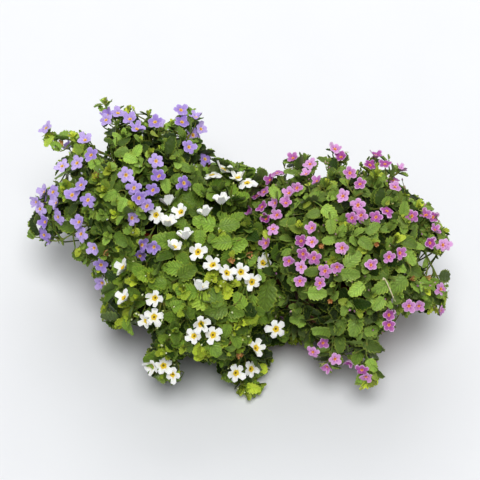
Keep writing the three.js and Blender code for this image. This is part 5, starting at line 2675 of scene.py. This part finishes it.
@dataclass(frozen=True)
class PlanterTrough:
    """The moulded window box, in millimetres, with its rim, feet and drain holes."""

    length: float = 320.0
    width: float = 115.0
    height: float = 140.0
    corner_radius: float = 22.0
    wall: float = 2.4
    taper: float = 8.0
    rim_height: float = 13.0
    rim_slope: float = 0.8
    rim_overhang: float = 3.5
    floor: float = 4.0
    foot_height: float = 4.0
    foot_width: float = 26.0
    foot_spacing: float = 108.0
    foot_setback: float = 7.0
    foot_sunk: float = 2.0
    foot_corner: float = 3.0
    edge_radius: float = 0.7
    drain_radius: float = 4.0
    drain_depth: float = 30.0
    drain_places: tuple[float, ...] = (-90.0, -18.0, 18.0, 90.0)
    drain_offset: float = 24.0

    def wall_inset(self, z: float) -> float:
        """How far the wall stands inside the rim's edge at a height."""
        return self.rim_overhang + self.taper * (self.height - z) / self.height

    def block(self, name: str, low: float, high: float, inset: Sequence[float]) -> Object:
        """Models an upright block with round corners that leans from foot to top.

        Args:
            name: Its name.
            low: Height of its foot.
            high: Height of its top.
            inset: How far foot and top stand inside the rim's edge.

        Returns:
            The block.
        """
        bpy.ops.object.select_all(action="DESELECT")
        bpy.ops.mesh.primitive_cube_add(size=1, location=(0, 0, 0))
        block = fresh(name)
        top = (self.length - 2 * inset[1], self.width - 2 * inset[1])
        foot = (self.length - 2 * inset[0], self.width - 2 * inset[0])
        with editing(block):
            bpy.ops.transform.resize(value=(top[0] * MM, top[1] * MM, (high - low) * MM))
            bpy.ops.transform.translate(value=(0, 0, (high + low) / 2 * MM))
            select_edges(block, lambda a, b: abs(a.z - b.z) > 0.5 * (high - low) * MM)
            radius = max(self.corner_radius - inset[1], 4) * MM
            bpy.ops.mesh.bevel(offset=radius, segments=8, affect="EDGES", profile=0.5)
            select_faces(block, lambda centre, normal: normal.z < -0.9)
            bpy.ops.transform.resize(
                value=(foot[0] / top[0], foot[1] / top[1], 1.0), center_override=(0, 0, low * MM)
            )
        return block

    @staticmethod
    def carve(piece: Object, tool: Object, way: str) -> None:
        """Adds a tool to a piece (UNION) or takes it away (DIFFERENCE), and removes the tool."""
        apply_modifier(piece, "BOOLEAN", operation=way, object=tool, solver="EXACT")
        bpy.data.objects.remove(tool)

    def build(self, finish: Material) -> Object:
        """Models the trough, dresses it, hangs it on the body and hides the imported window box.

        Args:
            finish: Its plastic.

        Returns:
            The trough.
        """
        rim_foot = self.height - self.rim_height
        trough = self.block(
            "planter_trough", self.foot_height, rim_foot,
            (self.wall_inset(self.foot_height), self.wall_inset(rim_foot)),
        )
        with editing(trough):
            select_faces(trough, lambda centre, normal: normal.z > 0.9)
            inset = self.wall_inset(rim_foot)
            grow = [size / (size - 2 * inset) for size in (self.length, self.width)]
            extrude_up(self.rim_slope)
            bpy.ops.transform.resize(value=(*grow, 1.0))
            extrude_up(self.rim_height - self.rim_slope)
            opening = self.rim_overhang + self.wall
            bpy.ops.mesh.inset(thickness=opening * MM)
            extrude_up(self.foot_height + self.floor - self.height)
            floor_inset = self.wall_inset(self.foot_height) - self.rim_overhang
            inner = [size - 2 * opening for size in (self.length, self.width)]
            shrink = [(size - 2 * floor_inset) / size for size in inner]
            bpy.ops.transform.resize(value=(*shrink, 1.0))
        for place in (-1, 0, 1):
            self.carve(trough, self._foot(place * self.foot_spacing), "UNION")
        for x in self.drain_places:
            for y in (-self.drain_offset, self.drain_offset):
                bpy.ops.mesh.primitive_cylinder_add(
                    vertices=20, radius=self.drain_radius * MM, depth=self.drain_depth * MM,
                    location=(x * MM, y * MM, self.foot_height * MM),
                )
                self.carve(trough, fresh("drain_cutter"), "DIFFERENCE")
        self._soften(trough)
        trough.data.materials.clear()
        trough.data.materials.append(finish)
        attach(trough, BODY)
        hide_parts("window_box")
        log.info("planter_trough: %d faces", len(trough.data.polygons))
        return trough

    def _foot(self, x: float) -> Object:
        """Models one foot bar across the underside.

        Args:
            x: Its place along the box.

        Returns:
            The bar.
        """
        bpy.ops.mesh.primitive_cube_add(size=1, location=(0, 0, 0))
        foot = fresh("foot_bar")
        deep = self.width - 2 * (self.wall_inset(0) + self.foot_setback)
        high = self.foot_height + self.foot_sunk
        with editing(foot):
            bpy.ops.transform.resize(value=(self.foot_width * MM, deep * MM, high * MM))
            bpy.ops.transform.translate(value=(x * MM, 0, high / 2 * MM))
            select_edges(foot, lambda a, b: abs(a.z - b.z) > 0.5 * high * MM)
            bpy.ops.mesh.bevel(offset=self.foot_corner * MM, segments=3, affect="EDGES")
        return foot

    def _soften(self, trough: Object) -> None:
        """Rounds the moulded edges a little and shades the walls smoothly.

        Args:
            trough: The trough.
        """
        with editing(trough):
            bpy.ops.mesh.remove_doubles(threshold=0.02 * MM)
            bpy.ops.mesh.normals_make_consistent(inside=False)
        apply_modifier(
            trough, "BEVEL", width=self.edge_radius * MM, segments=2, limit_method="ANGLE",
            angle_limit=math.radians(40),
        )
        smooth(trough, 35)


@dataclass(frozen=True)
class CrumblySoil:
    """The potting soil that fills the trough, in millimetres.

    Attributes:
        top: Height of the soil at the walls.
        crown: Its greatest height, in the middle.
        settle: How far the smooth middle stays under the crown.
        slope: How far from the walls the middle begins.
        clearance: Gap to the box's walls and floor.
        cuts: How often each edge of the top is divided.
        crumb_margin: How far from the box's edge the crumbs lie, along it and across.
    """

    top: float = 127.0
    crown: float = 131.0
    settle: float = 1.2
    slope: float = 10.0
    clearance: float = 0.5
    roughness: float = 1.3
    cuts: int = 24
    crumbs: int = 900
    crumb_sizes: tuple[float, float] = (0.7, 2.4)
    crumb_margin: tuple[float, float] = (16.0, 15.0)
    seed: int = 7

    def build(self, trough: PlanterTrough, finish: Material) -> Object:
        """Models the soil, dresses it, hangs it on the body and hides the imported potting soil.

        Args:
            trough: The box that it fills.
            finish: Its material.

        Returns:
            The soil.
        """
        foot = trough.foot_height + trough.floor + self.clearance
        inset = trough.wall + self.clearance
        soil = trough.block(
            "crumbly_soil", foot, self.top,
            (trough.wall_inset(foot) + inset, trough.wall_inset(self.top) + inset),
        )
        with editing(soil):
            select_faces(soil, lambda centre, normal: normal.z > 0.9)
            bpy.ops.mesh.inset(thickness=self.slope * MM)
            rise = self.crown - self.top - self.settle
            bpy.ops.transform.translate(value=(0, 0, rise * MM))
            bpy.ops.mesh.quads_convert_to_tris()
            bpy.ops.mesh.subdivide(number_cuts=self.cuts)
            bpy.ops.mesh.select_all(action="SELECT")
            bpy.ops.mesh.quads_convert_to_tris()
        self._roughen(soil)
        soil = join([soil] + self._scatter(trough))
        soil.data.materials.clear()
        soil.data.materials.append(finish)
        smooth(soil, 70)
        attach(soil, BODY)
        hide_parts("potting_soil")
        log.info("crumbly_soil: %d faces", len(soil.data.polygons))
        return soil

    def _roughen(self, soil: Object) -> None:
        """Makes the top uneven, as watered soil is.

        Args:
            soil: The soil.
        """

        def lift(point: Vector) -> tuple[float, float, float]:
            """Where a point of the top goes.

            Args:
                point: The point.

            Returns:
                Its new place.
            """
            if point.z < (self.top + 0.5) * MM:
                return tuple(point)
            x, y = point.x / MM, point.y / MM
            wave = math.sin(x * 0.31 + 1.7 * math.sin(y * 0.23)) + math.sin(y * 0.43 + x * 0.17)
            wave += 0.7 * math.sin(x * 0.9 - y * 0.7)
            return point.x, point.y, point.z + wave * 0.35 * self.roughness * MM

        reshape(soil, lift)

    def _scatter(self, trough: PlanterTrough) -> list[Object]:
        """Models a crumb once, and copies it over the top of the soil.

        Args:
            trough: The box that the soil fills.

        Returns:
            The crumbs.
        """
        rng = random.Random(self.seed)
        bpy.ops.mesh.primitive_ico_sphere_add(subdivisions=1, radius=1.0)
        crumb = fresh("soil_crumb")
        with editing(crumb):
            bpy.ops.transform.resize(value=(1.0, 0.8, 0.65))
        for vertex in crumb.data.vertices:
            vertex.co *= rng.uniform(0.75, 1.15)
        copies = []
        for _ in range(self.crumbs):
            x = rng.uniform(-1, 1) * (trough.length / 2 - self.crumb_margin[0])
            y = rng.uniform(-1, 1) * (trough.width / 2 - self.crumb_margin[1])
            size = rng.uniform(*self.crumb_sizes)
            mesh = crumb.data.copy()
            turn = Matrix.Rotation(rng.uniform(0, 6.28), 4, jitter(rng, 1).normalized())
            centre = Vector((x, y, self.crown - 1 + rng.uniform(-0.6, 0.6)))
            mesh.transform(Matrix.Translation(centre * MM) @ turn @ Matrix.Scale(size * MM, 4))
            copies.append(put("soil_crumb_copy", mesh))
        bpy.data.objects.remove(crumb)
        return copies


# ---------------------------------------------------------------- the studio


@dataclass(frozen=True)
class Studio:
    """Pale floor, soft light and the camera at the photograph's angle, in metres and degrees."""

    floor_size: float = 16.0
    world_colour: tuple[float, float, float, float] = (0.955, 0.975, 1.0, 1.0)
    world_strength: float = 0.27
    back_place: tuple[float, float, float] = (-0.6, 2.4, 2.5)
    back_size: float = 3.0
    back_strength: float = 30.0
    top_source: tuple[float, float, float] = (0.1, -0.28, 0.95)
    top_softness: float = 30.0
    top_strength: float = 1.85
    sensor: float = 36.0
    clip: tuple[float, float] = (0.05, 60.0)

    def build(self, floor_finish: Material) -> None:
        """Sets the studio up.

        Args:
            floor_finish: The floor's material.
        """
        self._floor(floor_finish)
        self._world()
        self._back_light()
        self._top_light()
        self._camera()
        self._picture()

    def _floor(self, finish: Material) -> None:
        """Lays a plain, level floor.

        Args:
            finish: Its material.
        """
        bpy.ops.object.select_all(action="DESELECT")
        bpy.ops.mesh.primitive_plane_add(size=1, location=(0, 0, 0))
        floor = fresh("studio_floor")
        with editing(floor):
            bpy.ops.transform.resize(value=(self.floor_size, self.floor_size, 1))
            bpy.ops.mesh.subdivide(number_cuts=6)
        floor.data.materials.append(finish)

    def _world(self) -> None:
        """Surrounds the scene with near-white light."""
        world = bpy.data.worlds.new("pale_studio")
        world.use_nodes = True
        background = world.node_tree.nodes["Background"]
        background.inputs["Color"].default_value = self.world_colour
        background.inputs["Strength"].default_value = self.world_strength
        bpy.context.scene.world = world

    def _back_light(self) -> None:
        """Hangs a soft square light behind the plants, looking at them."""
        light = bpy.data.lights.new("back_light", "AREA")
        light.size, light.energy = self.back_size, self.back_strength
        lamp = put("back_light", light)
        lamp.location = self.back_place
        lamp.rotation_euler = self._aim(self.back_place)

    def _top_light(self) -> None:
        """Adds wide, soft light that comes evenly from one direction."""
        light = bpy.data.lights.new("top_light", "SUN")
        light.energy, light.angle = self.top_strength, math.radians(self.top_softness)
        put("top_light", light).rotation_euler = self._aim(self.top_source)

    @staticmethod
    def _aim(source: tuple[float, float, float]) -> Euler:
        """Turn of a lamp that shines from a place towards the origin."""
        return (-Vector(source)).to_track_quat("-Z", "Y").to_euler()

    def _camera(self) -> None:
        """Puts the camera where the photograph was taken from."""
        camera = bpy.data.cameras.new("photograph_camera")
        camera.sensor_width = self.sensor
        camera.lens = self.sensor * VIEW.distance / (VIEW.mm_per_pixel * VIEW.pixels)
        camera.clip_start, camera.clip_end = self.clip
        eye = put("photograph_camera", camera)
        turn = Matrix((VIEW.right, VIEW.up, VIEW.back)).transposed().to_4x4()
        turn.translation = VIEW.eye * MM
        eye.matrix_world = turn
        bpy.context.scene.camera = eye

    @staticmethod
    def _picture() -> None:
        """Keeps the greens and whites as clear as the photograph's."""
        settings = bpy.context.scene.view_settings
        settings.view_transform = "Standard"
        settings.look = "Medium High Contrast"


def main() -> None:
    """Builds the planted window box from the soil upwards, and the studio round it."""
    effects = SharedEffects()
    trough = PlanterTrough()
    trough.build(PLASTIC.material(effects))
    CrumblySoil().build(trough, SOIL.material(effects))
    patterns, sight = Patterns(), Sight()
    taken: list[tuple[float, float]] = []
    bacopas = [Bacopa(plant, patterns, sight) for plant in PLANTS]
    for bacopa in bacopas:
        bacopa.root(taken)
    for bacopa in bacopas:
        bacopa.clear_sight()
    for bacopa in bacopas:
        bacopa.lay_leaves_seen()
    for bacopa in bacopas:
        bacopa.grow()
    lavender, white, pink = bacopas
    filled = 0
    for pixel in sight.bare(7):
        first, second = (lavender, white) if pixel[0] < 240 else (pink, white)
        if inside(BRIGHT_ZONE, pixel):
            first, second = second, first
        filled += first.fill(pixel) or second.fill(pixel)
    log.info("%d shoots fill bare places", filled)
    stem, withered, dried = (row.material(effects) for row in (STEM, WITHERED, DRIED))
    for bacopa in bacopas:
        name = bacopa.plant.name
        leaf, petal, bud = (row[name].material(effects) for row in (LEAVES, PETALS, BUDS))
        sprays = bacopa.finish([leaf, petal, stem, bud, withered, dried])
        faces = sum(len(spray.data.polygons) for spray in sprays)
        log.info("%s bacopa: %d sprays, %d faces", name, len(sprays), faces)
    Studio().build(FLOOR.material(effects))


if __name__ == "__main__":
    main()
